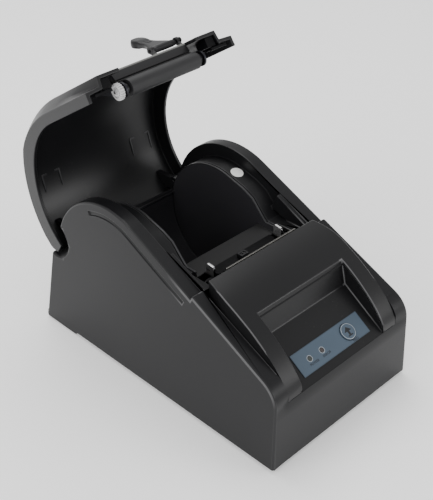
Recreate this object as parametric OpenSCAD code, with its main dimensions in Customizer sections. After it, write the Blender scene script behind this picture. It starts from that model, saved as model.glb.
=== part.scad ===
// Desktop receipt printer for narrow paper rolls, drawn with its lid open
// Millimetres. +X to the printer's right, +Y to the rear, +Z up, origin under the middle on the surface.

/* [Case] */
// Width of the case at the surface
case_w = 118; // [112:1:124]
// Lean of each side wall from vertical, in degrees
side_draft = 2.6; // [1.5:0.1:3]
// Depth from the front face to the rear foot
case_d = 205; // [203:1:210]
// Wall thickness of the mouldings
wall = 2.4; // [2:0.1:2.8]
// Height of the case's underside above the surface
floor_gap = 2.5; // [2:0.25:4]
// Radius of the front shoulder
shoulder_r = 17; // [14:1:20]
// Lean of the rear face from vertical, in degrees
rear_lean = 12.5; // [10:0.5:14]
// Height of the sill behind the lid
sill_z = 56; // [54:0.5:57]

/* [Hump and seat] */
// Distance of the hump's centre from the front face
hump_y = 135; // [134:0.5:137]
// Height of the hump's centre
hump_z = 61.3; // [60:0.5:64]
// Radius of the seat that carries the lid
seat_r = 50; // [49:0.5:51]
// Slope of the seat and rails, in degrees
slope = 26; // [24:0.5:28]
// Height of the front rails above the seat line
rail_lift = 3; // [2:0.5:4]
// Length of the straight seat in front of the hump
seat_run = 53; // [52:0.5:55]
// Width of the seat's top band
rim_w = 9; // [8:0.5:10]
// Depth of the ledge below the seat
ledge_drop = 8.5; // [7:0.5:10]
// Depth of the groove cut in each side
groove_depth = 0.9; // [0.5:0.1:1.2]

/* [Lid] */
// Height of the lid's roof above the seat
lid_h = 13.2; // [12:0.2:14]
// Length of the lid in front of the hump
lid_run = 49.5; // [48:0.5:50]
// Thickness of the lid's shell
lid_wall = 2.2; // [1.8:0.1:2.6]
// Gap between the closed lid and its seat
lid_gap = 0.4; // [0.3:0.1:0.8]
// Distance of the hinge axis in from the rear of the seat
hinge_in = 0.5; // [0:0.5:1]
// Height of the hinge axis above the hump's centre
hinge_up = 6.3; // [5.7:0.2:7.1]
// Opening angle of the lid, in degrees
open_deg = 58; // [50:1:60]
// Radius of each hinge pin
hinge_pin_r = 2; // [1.5:0.1:2.5]
// Radial clearance of the hinge pins in the case
pin_clear = 0.05; // [0.02:0.01:0.08]

/* [Paper path] */
// Width of the paper roll
paper_w = 58; // [56:0.5:58]
// Side clearance of the roll in its bay
roll_clear = 3; // [2.5:0.5:4]
// Radius of the roll bay
bay_r = 40; // [38:0.5:40.5]
// Thickness of the roll bay
bay_wall = 1.8; // [1.5:0.1:2.2]
// Distance of the platen axis from the front face, lid closed
platen_y = 71.5; // [71:0.5:73]
// Height of the platen axis, lid closed
platen_z = 87.2; // [86:0.2:88]
// Radius of the platen rubber
platen_r = 5; // [4.5:0.1:5.4]
// Length of the platen rubber
platen_w = 52; // [50:0.5:52.5]
// Radius of the platen shaft
shaft_r = 1.5; // [1.2:0.1:1.8]

/* [Front cover] */
// Half width of the raised front cover
cover_hw = 46; // [44:0.5:47]
// Narrowing of the cover at each rear corner
cover_taper = 3.2; // [2:0.2:4]
// Rise of the cover's deck above a straight line
deck_swell = 2.1; // [1:0.1:2.5]
// Half width of the flat label panel
panel_hw = 35; // [33:0.5:36]
// Distance of the cover's cut edge from the front face
cover_y = 63.5; // [62:0.5:64]
// Height of the cover's cut edge
cover_z = 90.6; // [89:0.2:91]
// Distance of the step's upper edge from the front face
step_y = 34; // [32:0.5:36]
// Height of the step's upper edge
step_z = 79.8; // [78:0.2:80.6]
// Slope of the label panel, in degrees
panel_deg = 34.8; // [33:0.2:36]
// Width of the label
label_w = 56; // [52:1:60]
// Depth of the label along the slope
label_d = 14.2; // [12:0.2:16]
// Radius of the feed button
button_r = 5; // [4:0.2:5.6]
// Travel of the feed button
button_travel = 0.8; // [0.5:0.1:1]

/* [Release lever] */
// Length of the release lever
lever_len = 28; // [26:1:32]
// Width of the lever at its root
lever_w = 17; // [14:1:18]
// Side position of the lever's middle
lever_x = 17; // [14:1:18]
// Angle of the lever above the roof, in degrees
lever_deg = 22; // [19:1:24]

/* [Hidden] */
$fn = 48;

// Fits
fit_gap = 0.3;
seat_gap = 0.15;
run_gap = 0.05;
eps = 0.01;
far = 400;

// Outlines of the case, as [y, z] pairs
tan_draft = tan(side_draft);
rail_r = seat_r + rail_lift;
ledge_r = seat_r - ledge_drop;
lid_r = seat_r + lid_h;
lid_in_r = seat_r + lid_gap;
foot_z = floor_gap - 1.6;
foot_y = case_d - 33;
notch_r = 12.2;
hinge_y = hump_y + seat_r - hinge_in;
hinge_z = hump_z + hinge_up;
notch_y = hinge_y + 2.5;
rim_x = side_x(hump_z + seat_r - ledge_drop) - rim_w;
pocket_y = hump_y - 44;
pocket_z = hump_z + 20;
ledge_swell = 1.6;
shoulder_z = hump_z + (rail_r - shoulder_r + (shoulder_r - hump_y) * sin(slope)) / cos(slope);
panel_z = step_z - 15.4;
panel_y = step_y - 3.4;
panel_low_y = 1.2;
panel_low_z = panel_z - (panel_y - panel_low_y) * tan(panel_deg);
cover_back_y = cover_y + 0.4;
cover_floor_z = panel_low_z - 7;
arc_step = 4;

// Half width of the case at a height, less an inset
function side_x(z, d = 0) = case_w / 2 - tan_draft * z - d;
// Distance of the rear face from the front at a height
function rear_y(z) = case_d - tan(rear_lean) * z;
// A point on the straight run in front of the hump, t being negative towards the front
function on_run(r, t) = [hump_y - r * sin(slope) + t * cos(slope),
    hump_z + r * cos(slope) + t * sin(slope)];
// A point round the hump, a being the angle back from the end of the run
function on_turn(r, a) = [hump_y - r * sin(slope - a), hump_z + r * cos(slope - a)];
// Either of these: s is a distance while negative and an angle after that
function on_path(r, s) = s < 0 ? on_run(r, s) : on_turn(r, s);
function turn_points(r, a0, a1) = [for (i = [0:ceil((a1 - a0) / arc_step)])
    on_turn(r, min(a1, a0 + i * arc_step))];
function reversed(list) = [for (i = [len(list) - 1:-1:0]) list[i]];
function mix(a, b, k) = a + (b - a) * min(1, max(0, k));
// Band between two radii, from a place on the run to an angle round the hump
function band(r0, r1, t0, a1) = concat([on_run(r0, t0)], turn_points(r0, 0, a1),
    reversed(turn_points(r1, 0, a1)), [on_run(r1, t0)]);

function shoulder_points(d) = [for (i = [0:12]) let (a = 180 - i * (90 - slope) / 12)
    [shoulder_r + (shoulder_r - d) * cos(a), shoulder_z + (shoulder_r - d) * sin(a)]];

// Side outline of the case, set in by d all round
function case_outline(d, low) = concat([[d, low]], shoulder_points(d),
    [on_run(rail_r - d, -seat_run - d), on_run(seat_r - d, -seat_run - d)],
    turn_points(seat_r - d, 0, 90 + slope),
    [[hump_y + seat_r - d, sill_z - d], [rear_y(sill_z) - d, sill_z - d], [rear_y(low) - d, low]]);

// Line of the ledges from the front pocket to the sill, lowered by e
function ledge_line(e) = concat([[cover_back_y - e, pocket_z - e], [pocket_y - e, pocket_z - e],
    [pocket_y + 2, pocket_z + 1.5 - e],
    on_run(ledge_r + ledge_swell - e, -15), on_run(ledge_r + ledge_swell - e, -6)],
        turn_points(ledge_r - e, 8, 90 + slope));

// Space over the ledges, grown by e
function mouth_outline(e) = concat([[cover_back_y - e, far]], ledge_line(e),
    [[hump_y + ledge_r - e, sill_z - e], [far, sill_z - e], [far, far]]);

// Space of the front cover, grown by e
function cover_outline(e) = [[-far, panel_low_z - e], [wall + fit_gap - e, panel_low_z - e],
    [wall + fit_gap - e, cover_floor_z - e],
    [cover_back_y + e, cover_floor_z - e], [cover_back_y + e, far], [-far, far]];

module along_x(half_w, shift = 0) {
    translate([shift, 0, 0]) rotate([90, 0, 90]) translate([0, 0, -half_w]) linear_extrude(2 * half_w)
        children();
}

module span_x(x0, x1) {
    translate([x0, 0, 0]) rotate([90, 0, 90]) linear_extrude(x1 - x0) children();
}

module both_sides() {
    children();
    mirror([1, 0, 0]) children();
}

// Everything between the two leaning side walls, set in by d
module between_sides(d) {
    translate([0, far, 0]) rotate([90, 0, 0]) linear_extrude(2 * far)
        polygon([[-side_x(-20, d), -20], [side_x(-20, d), -20], [side_x(200, d), 200],
            [-side_x(200, d), 200]]);
}

// Moves the model so that its origin lies under the middle of its length, lid open
open_centre = swung([hump_y, hump_z]);
mid_y = (open_centre[0] + lid_r) / 2;
module in_place() {
    translate([0, -mid_y, 0]) children();
}

// A point of the closed lid, [y, z], after the lid has swung open
function swung(p) = [hinge_y + (p[0] - hinge_y) * cos(open_deg) + (p[1] - hinge_z) * sin(open_deg),
    hinge_z - (p[0] - hinge_y) * sin(open_deg) + (p[1] - hinge_z) * cos(open_deg)];

// Carries the closed lid's geometry to the open pose
module lid_open() {
    in_place() translate([0, hinge_y, hinge_z]) rotate([-open_deg, 0, 0])
        translate([0, -hinge_y, -hinge_z]) children();
}

// Solid through a row of closed outlines of n points. An outline is a strip: point j lies across from n - 1 - j
module loft(rings) {
    n = len(rings[0]);
    last = (len(rings) - 1) * n;
    walls = [for (i = [0:len(rings) - 2], j = [0:n - 1]) let (k = (j + 1) % n, a = i * n, b = (i + 1) * n)
        each [[a + j, b + j, b + k], [a + j, b + k, a + k]]];
    ends = [for (j = [0:n / 2 - 2]) each [[j, j + 1, n - 2 - j], [j, n - 2 - j, n - 1 - j],
        [last + j + 1, last + j, last + n - 2 - j], [last + n - 2 - j, last + j, last + n - 1 - j]]];
    polyhedron([for (ring = rings) each ring], concat(walls, ends), convexity = 6);
}

// Cylinder along +X
module rod_x(r, x0, x1, y, z) {
    translate([x0, y, z]) rotate([0, 90, 0]) cylinder(r = r, h = x1 - x0);
}

// ---- Case ----

screw_r = 1.5;
screw_bore = screw_r + run_gap;
boss_r = 4;
boss_top = 24;
boss_places = [for (y = [shoulder_r - 1, foot_y - 8], s = [-1, 1])
    [s * (side_x(floor_gap + 4) - wall - boss_r + 1), y]];
plate_top = floor_gap + wall;
bay_x = paper_w / 2 + roll_clear;
bay_out = bay_x + bay_wall;
bay_hole = bay_out + 0.25;
well_y = [cover_y - 14, pocket_y];
rim_step = 3;
well_x = 36;
cheek_t = 3.2;
knuckle_r = 5.2;
cheek_x = [rim_x, rim_x + cheek_t];
arm_x = [rim_x - 4.4, rim_x - 0.4];

// Shell of the case: outside less inside, both cut by the same open spaces
module case_body(d) {
    low = d > 0 ? -1 : floor_gap;
    difference() {
        intersection() {
            along_x(case_w) polygon(case_outline(d, low));
            between_sides(d);
        }
        along_x(rim_x + d) polygon(mouth_outline(d));
        along_x(cover_hw + fit_gap + d) polygon(cover_outline(d));
        rod_x(notch_r + d, -case_w, case_w, notch_y, hinge_z);
        along_x(case_w) polygon([[notch_y, sill_z - d], [far, sill_z - d], [far, far], [notch_y, far]]);
    }
}

module side_grooves() {
    // a groove follows the seat and runs out over the rear of the hump
    r_mid = ledge_r + 0.3;
    both_sides() difference() {
        span_x(0, case_w) polygon(band(r_mid, r_mid + 2.6, -seat_run + 3, 48));
        between_sides(groove_depth);
    }
}

module main_housing() {
    color([0.13, 0.13, 0.135]) in_place() {
        difference() {
            union() {
                difference() {
                    case_body(0);
                    case_body(wall);
                }
                both_sides() hinge_cheek();
                both_sides() span_x(rim_x - rim_step, rim_x + 1)
                    polygon([[cover_y, pocket_z - 6], [cover_y, cover_z - 14],
                    on_run(seat_r - 0.2, -seat_run), on_run(seat_r - 0.2, -24), on_run(ledge_r - 3, -24)]);
                intersection() {
                    for (p = boss_places) translate([p[0], p[1], plate_top + seat_gap])
                        cylinder(r = boss_r, h = boss_top - plate_top);
                    between_sides(0.5);
                }
                intersection() {
                    rear_foot();
                    between_sides(0);
                }
            }
            translate([-bay_hole, well_y[0], sill_z - 10])
                cube([2 * bay_hole, hump_y + bay_r + bay_wall + fit_gap - well_y[0], far]);
            translate([-well_x, well_y[0], sill_z - 10]) cube([2 * well_x, pocket_y - 6 - well_y[0], far]);
            side_grooves();
            for (p = boss_places) translate([p[0], p[1], -1]) cylinder(r = screw_bore, h = boss_top - 3);
            rod_x(hinge_pin_r + pin_clear, -case_w, case_w, hinge_y, hinge_z);
            rear_ports(fit_gap);
        }
    }
}

module rear_foot() {
    // deeper skirt under the rear of the case
    difference() {
        along_x(case_w) polygon([[foot_y, floor_gap + 3], [foot_y + 2, foot_z], [case_d - 1, foot_z],
            [rear_y(floor_gap), floor_gap + 3]]);
        along_x(side_x(foot_z, wall)) polygon([[0, -1], [rear_y(foot_z) - wall, -1],
            [rear_y(floor_gap) - wall, floor_gap + 4], [0, floor_gap + 4]]);
    }
}

module hinge_cheek() {
    span_x(cheek_x[0], cheek_x[1]) union() {
        translate([hinge_y, hinge_z]) circle(knuckle_r);
        polygon([[hinge_y - knuckle_r + 0.4, hinge_z + 2], [hinge_y - 0.6, hinge_z - knuckle_r + 0.1],
            [hinge_y - 1.8, hinge_z - notch_r - 1],
            [hinge_y - knuckle_r - 6, hinge_z - notch_r + 2], [hinge_y - knuckle_r - 8, hinge_z - 3]]);
    }
}

module bottom_plate() {
    color([0.1, 0.1, 0.105]) in_place() difference() {
        union() {
            intersection() {
                translate([-case_w, wall + seat_gap, floor_gap])
                    cube([2 * case_w, rear_y(plate_top) - 2 * (wall + seat_gap), wall]);
                between_sides(wall + seat_gap);
            }
            for (p = board_posts) translate([p[0], p[1], plate_top - eps])
                cylinder(r = 3, h = board_z - plate_top);
        }
        for (p = boss_places) translate([p[0], p[1], -1]) cylinder(r = screw_r + 0.4, h = far);
        for (p = feet_places) translate([p[0], p[1], floor_gap - 1])
            cylinder(r = foot_stem_r + run_gap, h = far);
        for (p = board_posts) translate([p[0], p[1], plate_top + 1]) cylinder(r = 1.2, h = far);
    }
}

foot_stem_r = 2;
foot_r = 5;
feet_x = case_w / 2 - 19;
feet_places = [for (y = [30, foot_y - 28], s = [-1, 1]) [s * feet_x, y]];

module rubber_feet() {
    color([0.05, 0.05, 0.05]) in_place() for (p = feet_places) translate([p[0], p[1], 0]) union() {
        cylinder(r = foot_r, h = floor_gap);
        cylinder(r = foot_stem_r, h = plate_top);
        translate([0, 0, plate_top]) cylinder(r = foot_stem_r + 0.6, h = 0.8);
    }
}

module base_screws() {
    color("silver") in_place() for (p = boss_places) translate([p[0], p[1], 0]) difference() {
        union() {
            translate([0, 0, floor_gap - 1.4]) cylinder(r = screw_r + 1.4, h = 1.4);
            translate([0, 0, floor_gap - 0.2]) cylinder(r = screw_r, h = 14);
        }
        translate([-0.4, -2, floor_gap - 1.5]) cube([0.8, 4, 0.7]);
        translate([-2, -0.4, floor_gap - 1.5]) cube([4, 0.8, 0.7]);
    }
}

// ---- Front cover with the label panel ----

panel_t = 2;

skirt_drop = 13;
skirt_t = 2;
deck_t = 2.4;

// Height of the panel and of the deck with its margins, at a distance from the front
function panel_at(y) = panel_low_z + (y - panel_low_y) * tan(panel_deg);
function deck_at(y) = y > step_y
    ? mix(step_z, cover_z, (y - step_y) / (cover_y - step_y))
        + deck_swell * sin(180 * (y - step_y) / (cover_y - step_y))
    : panel_low_z + 0.5 + (step_z - panel_low_z - 0.5) * pow(1 - pow(1 - y / step_y, 1.08), 0.66);
// Half width of the cover, which narrows towards its rear corners
function cover_half(y) = cover_hw - cover_taper * pow(max(0, (y - taper_y) / (cover_y - taper_y)), 1.6);
taper_y = step_y + 10;
// Lower edge of the cover's side skirts
function skirt_at(y) = max(panel_low_z + 0.2, deck_at(y) - skirt_drop);

function cover_ring(y) = let (w = cover_half(y), h = deck_at(y), low = skirt_at(y)) [for (p = [
    [-w, low], [-w, h], [-panel_hw, h], [panel_hw, h], [w, h], [w, low],
    [w - skirt_t, low], [w - skirt_t, h - deck_t], [panel_hw, h - deck_t], [-panel_hw, h - deck_t],
    [skirt_t - w, h - deck_t], [skirt_t - w, low]]) [p[0], y, p[1]]];

module front_cover() {
    // panel_low_y is where the panel starts and nose_y where its margins do
    nose_y = 0.5;
    nose_stations = [for (i = [0:11]) nose_y + (step_y - nose_y) * pow(i / 11, 1.4)];
    deck_stations = [for (i = [1:7]) mix(step_y, cover_y, i / 7)];
    margin_stations = [for (y = nose_stations) if (deck_at(y) - panel_at(y) > 1.2) y];
    color([0.14, 0.14, 0.145]) in_place() difference() {
        union() {
            difference() {
                loft([for (y = concat(nose_stations, deck_stations)) cover_ring(y)]);
                along_x(panel_hw - eps) polygon([[-1, panel_at(-1)], [panel_y, panel_z],
                    [step_y, step_z + 0.02],
                    [step_y - 2, far], [-1, far]]);
            }
            // recessed panel and its riser
            along_x(panel_hw + 1.6) polygon([[panel_low_y, panel_low_z], [panel_y, panel_z],
                [step_y, step_z],
                [step_y + 2.6, step_z - 1],
                [panel_y + 2.6, panel_z + 2.6 * tan(panel_deg) - panel_t / cos(panel_deg)],
                [panel_low_y + panel_t * sin(panel_deg), panel_low_z - panel_t * cos(panel_deg)]]);
            // walls beside the panel
            both_sides() span_x(panel_hw, panel_hw + 1.6)
                polygon(concat([for (y = margin_stations) [y, deck_at(y) - 1]],
                [[panel_y + 2, panel_z - 2], [panel_low_y + 2, panel_low_z - 0.5]]));
        }
        on_panel(button_at, -6) cylinder(r = button_r + fit_gap, h = 20);
        for (u = lamp_at) on_panel(u, -6) cylinder(r = lamp_r + fit_gap / 2, h = 20);
        // rests on the front wall
        translate([-far, -1, 0]) cube([2 * far, wall + 2 * fit_gap + 1, panel_low_z + 0.1]);
    }
}

// Places on the panel, [x, distance up the slope]
label_up = 5.2;
button_at = [14.4, label_up + label_d / 2];
lamp_at = [[-17.8, label_up + label_d / 2], [-7.7, label_up + label_d / 2]];
lamp_r = 1.5;
label_t = 0.4;

module on_panel(p, up = 0) {
    translate([0, panel_low_y, panel_low_z]) rotate([panel_deg, 0, 0]) translate([p[0], p[1], up])
        children();
}

module panel_label() {
    color([0.42, 0.5, 0.58]) in_place() difference() {
        on_panel([-label_w / 2, label_up]) cube([label_w, label_d, label_t]);
        on_panel(button_at, -1) cylinder(r = button_r + fit_gap, h = 5);
        for (u = lamp_at) on_panel(u, -1) cylinder(r = lamp_r + fit_gap / 2, h = 5);
    }
}

module lamp(p, tint) {
    color(tint) in_place() on_panel(p, -3.4) union() {
        cylinder(r = lamp_r, h = 3.4 + label_t + 0.1);
        translate([0, 0, -0.8]) cylinder(r = lamp_r + 0.5, h = 0.8);
    }
}

module power_lamp() {
    lamp(lamp_at[0], [0.5, 0.75, 0.5]);
}

module error_lamp() {
    lamp(lamp_at[1], [0.8, 0.35, 0.3]);
}

button_proud = 0.9;
button_flange = 1;

module feed_button() {
    color([0.4, 0.48, 0.56]) in_place() on_panel(button_at, -3.2) union() {
        cylinder(r = button_r, h = 3.2 + label_t + button_proud);
        translate([0, 0, -button_flange]) cylinder(r = button_r + 1, h = button_flange);
        translate([0, 0, -button_flange - 1.2]) cylinder(r = 1.6, h = 1.3);
    }
}

board_drop = 3.2 + button_flange + 1.2 + button_travel + 0.35;

module button_board() {
    color([0.1, 0.32, 0.2]) in_place() union() {
        on_panel([-24, label_up - 1], -board_drop - 4.2) cube([48, label_d + 2, 1.6]);
        on_panel([button_at[0] - 3, button_at[1] - 3], -board_drop - 2.7) cube([6, 6, 2.7]);
        for (u = lamp_at) on_panel(u, -board_drop - 2.7) cylinder(r = 1.2, h = board_drop + 2.7 - 4.2);
        for (x = [-22, 22]) on_panel([x, label_up + label_d / 2], -board_drop - 2.7)
            cylinder(r = 1.6, h = board_drop + 2.7 - panel_t);
    }
}

// ---- Paper bay ----

// Open drum grown by e, with the guide that leads forward from its upper front edge
module bay_space(e) {
    guide_y0 = hump_y - bay_r + 3;
    translate([hump_y, hump_z]) circle(bay_r + e, $fn = 90);
    polygon([[guide_y0, hump_z], [guide_y0, guide_top], [bay_front - (e > 0 ? 0 : 1), guide_top - 0.5 - e],
        [bay_front - (e > 0 ? 0 : 1), far],
        [hump_y + bay_r + e, far], [hump_y + bay_r + e, hump_z]]);
}

module roll_bay() {
    color([0.07, 0.07, 0.075]) in_place() union() {
        difference() {
            along_x(bay_out) intersection() {
                bay_space(bay_wall);
                polygon(concat(ledge_line(0), [[hump_y + bay_r + bay_wall, hump_z - 6],
                    [hump_y + bay_r + bay_wall, -far], [cover_y, -far]]));
            }
            along_x(bay_x) bay_space(0);
        }
        // rounded lip behind the roll
        rod_x(lip_r, -bay_out, bay_out, hump_y + bay_r + bay_wall / 2, lip_z);
        span_x(-bay_out, bay_out) translate([hump_y + bay_r, hump_z - 8])
            square([bay_wall, lip_z - hump_z + 8]);
    }
}

guide_top = pocket_z - 3.6;
bay_front = pocket_y - 7;
lip_r = 1.4;
lip_z = hump_z + 7.6;

// ---- Print mechanism ----

bearing_r = 3;
bearing_x = [platen_w / 2 + 0.4, platen_w / 2 + 4.6];
plate_x = [platen_w / 2 + 1.2, platen_w / 2 + 2.6];
gear_x = [platen_w / 2 + 5.2, platen_w / 2 + 8.2];
gear_m = 0.45;
platen_teeth = 20;
idler_teeth = 28;
pinion_teeth = 12;
idler_deg = -100;
pinion_deg = -75;
idler_c = [platen_y + gear_m * (platen_teeth + idler_teeth) / 2 * cos(idler_deg),
    platen_z + gear_m * (platen_teeth + idler_teeth) / 2 * sin(idler_deg)];
pinion_c = [idler_c[0] + gear_m * (idler_teeth + pinion_teeth) / 2 * cos(pinion_deg),
    idler_c[1] + gear_m * (idler_teeth + pinion_teeth) / 2 * sin(pinion_deg)];
motor_r = 7;
motor_len = 12;
pin_r = 1;
head_deg = 45;
head_c = [platen_y - (platen_r + 0.15) * cos(head_deg), platen_z - (platen_r + 0.15) * sin(head_deg)];
head_up = 2;
head_down = 8;
head_t = 1;
sink_t = 2.5;
spring_len = 5.5;
shelf_z = sill_z - 10;
frame_t = plate_x[1] - plate_x[0];
frame_y = [platen_y - 19, platen_y + 12];
tab_x = 35;
slot_lean = 10;

// Local frame of the head: +y down along it to the rear, +z towards the platen
module at_head() {
    translate([0, head_c[0], head_c[1]]) rotate([head_deg - 90, 0, 0]) children();
}

module side_plate_shape() {
    difference() {
        polygon([[frame_y[0], shelf_z], [frame_y[1], shelf_z], [frame_y[1], shelf_z + 22],
            [platen_y + 8.6, platen_z - 9],
            [platen_y + 8.8, platen_z - 1.2], [platen_y + 7.6, platen_z], [platen_y - 6.4, platen_z - 1.6],
            [platen_y - 9, platen_z - 3], [frame_y[0], platen_z - 16]]);
        translate([platen_y, platen_z]) circle(bearing_r + run_gap);
        translate([platen_y, platen_z]) rotate(-slot_lean) translate([-bearing_r - run_gap, 0])
            square([2 * (bearing_r + run_gap), 20]);
        translate([pinion_c[0], pinion_c[1]]) circle(pin_r + 0.5);
        translate([frame_y[0] + 8, shelf_z + 9]) circle(3);
    }
}

module mechanism_frame() {
    color([0.62, 0.63, 0.65]) in_place() union() {
        both_sides() span_x(plate_x[0], plate_x[1]) side_plate_shape();
        both_sides() difference() {
            translate([plate_x[0], frame_y[0], shelf_z])
                cube([tab_x - plate_x[0], frame_y[1] - frame_y[0], frame_t]);
            for (y = frame_screw_y) translate([frame_screw_x, y, 0]) cylinder(r = screw_bore, h = far);
        }
        // cross plates: behind the springs, and the paper guide
        at_head() translate([-plate_x[0] - eps, -1, -head_t - sink_t - spring_len - frame_t - 0.05])
            cube([2 * plate_x[0] + 2 * eps, head_down - 2, frame_t]);
        translate([-plate_x[0] - eps, guide_y, guide_z])
            cube([2 * plate_x[0] + 2 * eps, frame_y[1] - guide_y, frame_t]);
    }
}

guide_y = platen_y + 4.5;
guide_z = platen_z - 10.2;
frame_screw_x = (plate_x[1] + tab_x) / 2;
frame_screw_y = [frame_y[0] + 6, frame_y[1] - 6];
tear_t = 0.8;
tear_hw = 28.3;

module frame_screws() {
    color("silver") in_place() both_sides() for (y = frame_screw_y)
        translate([frame_screw_x, y, shelf_z + frame_t]) difference() {
        union() {
            cylinder(r = screw_r + 1, h = 1.4);
            translate([0, 0, -frame_t - 2]) cylinder(r = screw_r, h = frame_t + 2.1);
        }
        translate([-0.4, -2, 0.8]) cube([0.8, 4, 2]);
    }
}

module tear_bar() {
    tooth = 1;
    color([0.75, 0.76, 0.78]) in_place() difference() {
        translate([-tear_hw, cover_y + seat_gap, platen_z - 1])
            cube([2 * tear_hw, tear_t, cover_z + 0.9 - platen_z + 1]);
        for (x = [-tear_hw + tooth / 2:tooth:tear_hw]) translate([x, cover_y, cover_z + 1.15])
            rotate([0, 45, 0])
            cube([tooth * 0.7, 3 * tear_t, tooth * 0.7], center = true);
    }
}

module print_head() {
    color([0.35, 0.35, 0.37]) in_place() at_head() union() {
        translate([-platen_w / 2, -head_up, -head_t]) cube([platen_w, head_up + head_down, head_t]);
        translate([-platen_w / 2 + 1, 0, -head_t - sink_t]) cube([platen_w - 2, head_down, sink_t + eps]);
    }
}

module head_springs() {
    color("silver") in_place() at_head() for (x = [-15, 15])
        translate([x, head_down / 2, -head_t - sink_t - spring_len])
        coil(2, 0.35, spring_len, 5);
}

// Stack of rings standing for a coil spring of the given length
module coil(r, wire, length, turns) {
    pitch = (length - 2 * wire) / turns;
    for (i = [0:turns]) translate([0, 0, wire + i * pitch]) rotate_extrude($fn = 24) translate([r, 0])
        circle(wire, $fn = 13);
    for (a = [0, 180]) rotate(a) translate([r, 0, wire])
        cylinder(r = wire * 0.8, h = length - 2 * wire, $fn = 13);
}

module head_cable() {
    color([0.85, 0.83, 0.75]) in_place() translate([4, platen_y - 2, board_z + board_t])
        cube([20, 0.5, platen_z - 11 - board_z - board_t]);
}

module feed_motor() {
    color([0.55, 0.56, 0.58]) in_place() difference() {
        union() {
            rod_x(motor_r, -plate_x[0], -plate_x[0] + motor_len, pinion_c[0], pinion_c[1]);
            translate([-plate_x[0], pinion_c[0] - motor_r - 3, pinion_c[1] - 2.5])
                cube([1, 2 * motor_r + 6, 5]);
            translate([-plate_x[0] + 4, pinion_c[0] - 3, pinion_c[1] - motor_r - 2]) cube([6, 6, 4]);
        }
        rod_x(pin_r + run_gap, -plate_x[0] - 1, -plate_x[0] + 6, pinion_c[0], pinion_c[1]);
    }
}

// Spur gear along +X, one tooth pointing at the angle given in the y-z plane
module gear(teeth, width, bore, at_deg) {
    pitch_r = gear_m * teeth / 2;
    root_r = pitch_r - 1.15 * gear_m;
    tip_r = pitch_r + 0.9 * gear_m;
    half = 90 / teeth - 1.4 / pitch_r;
    tooth = [[root_r - 0.2, -half - 4.2 / pitch_r * 2], [pitch_r, -half], [tip_r, -half + 6.5 / pitch_r],
        [tip_r, half - 6.5 / pitch_r], [pitch_r, half], [root_r - 0.2, half + 4.2 / pitch_r * 2]];
    rotate([90, 0, 90]) difference() {
        linear_extrude(width) union() {
            circle(root_r);
            for (i = [0:teeth - 1]) polygon([for (p = tooth) let (a = at_deg + p[1] + i * 360 / teeth)
                [p[0] * cos(a), p[0] * sin(a)]]);
        }
        translate([0, 0, -1]) cylinder(r = bore, h = width + 2);
    }
}

module gear_pin() {
    color("silver") in_place() union() {
        rod_x(pin_r, -gear_x[1] - 0.8, -plate_x[1], idler_c[0], idler_c[1]);
        rod_x(pin_r + 0.8, -gear_x[1] - 0.8, -gear_x[1] - 0.2, idler_c[0], idler_c[1]);
        rod_x(pin_r + 0.8, -gear_x[0] + 0.2, -plate_x[1], idler_c[0], idler_c[1]);
    }
}

module idler_gear() {
    color([0.92, 0.92, 0.9]) in_place() translate([-gear_x[1], idler_c[0], idler_c[1]])
        gear(idler_teeth, gear_x[1] - gear_x[0], pin_r + run_gap, idler_deg + 180 + 180 / idler_teeth);
}

// The pinion has a tooth where the idler has a space
idler_phase = idler_deg + 180 + 180 / idler_teeth - pinion_deg;
idler_pitch = 360 / idler_teeth;
idler_rest = idler_phase - idler_pitch * floor(idler_phase / idler_pitch);
pinion_phase = pinion_deg + 180 - (idler_rest - idler_pitch / 2) * idler_teeth / pinion_teeth;

module motor_pinion() {
    color([0.92, 0.92, 0.9]) in_place() union() {
        translate([-gear_x[1], pinion_c[0], pinion_c[1]])
            gear(pinion_teeth, gear_x[1] - gear_x[0], pin_r - 0.3, pinion_phase);
        rod_x(pin_r, -gear_x[1], -plate_x[0] + 5.8, pinion_c[0], pinion_c[1]);
    }
}

module paper_sensor() {
    color([0.06, 0.06, 0.07]) in_place() translate([-3, guide_y + 1, guide_z + frame_t]) difference() {
        cube([6, 4, 2.2]);
        translate([1, 1, 1.6]) cube([1.6, 2, 1]);
        translate([3.4, 1, 1.6]) cube([1.6, 2, 1]);
    }
}

// ---- Electronics ----

board_z = 10.5;
board_t = 1.6;
board_x = case_w / 2 - 15;
board_y = [cover_y - 1.5, case_d - 19];
board_posts = [for (y = [board_y[0] + 6, board_y[1] - 24], s = [-1, 1]) [s * (board_x - 5), y]];

module chip(x, y, w, d, h) {
    translate([x, y, board_z + board_t - eps]) cube([w, d, h]);
}

module main_board() {
    color([0.1, 0.34, 0.2]) in_place() difference() {
        union() {
            translate([-board_x, board_y[0], board_z])
                cube([2 * board_x, board_y[1] - board_y[0], board_t]);
            chip(-10, 96, 14, 14, 1.4);
            chip(14, 100, 8, 6, 1.4);
            chip(2, platen_y - 4, 24, 5, 3);
            chip(-32, platen_y + 4, 10, 5, 4);
            for (x = [8 - board_x, board_x - 10]) translate([x, board_y[1] - 26, board_z + board_t - eps])
                cylinder(r = 4, h = 10);
        }
        for (p = board_posts) translate([p[0], p[1], board_z - 1]) cylinder(r = 1.5, h = 4);
        translate([3.9, platen_y - 2.1, board_z + board_t]) cube([20.2, 0.7, 4]);
    }
}

// Sockets on the rear edge: middle x, width, height
jack_at = [8 - board_x, 9.2, 11];
drawer_at = [-16, 13.6, 12.4];
usb_at = [6, 12, 10.8];
socket_y = board_y[1] - 1;

module socket_box(at, grow = 0) {
    z0 = board_z + board_t;
    translate([at[0] - at[1] / 2 - grow, socket_y - grow, z0 - grow])
        cube([at[1] + 2 * grow, rear_y(z0 + at[2]) - 0.3 - socket_y + grow + (grow > 0 ? 20 : 0),
            at[2] + 2 * grow]);
}

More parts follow.
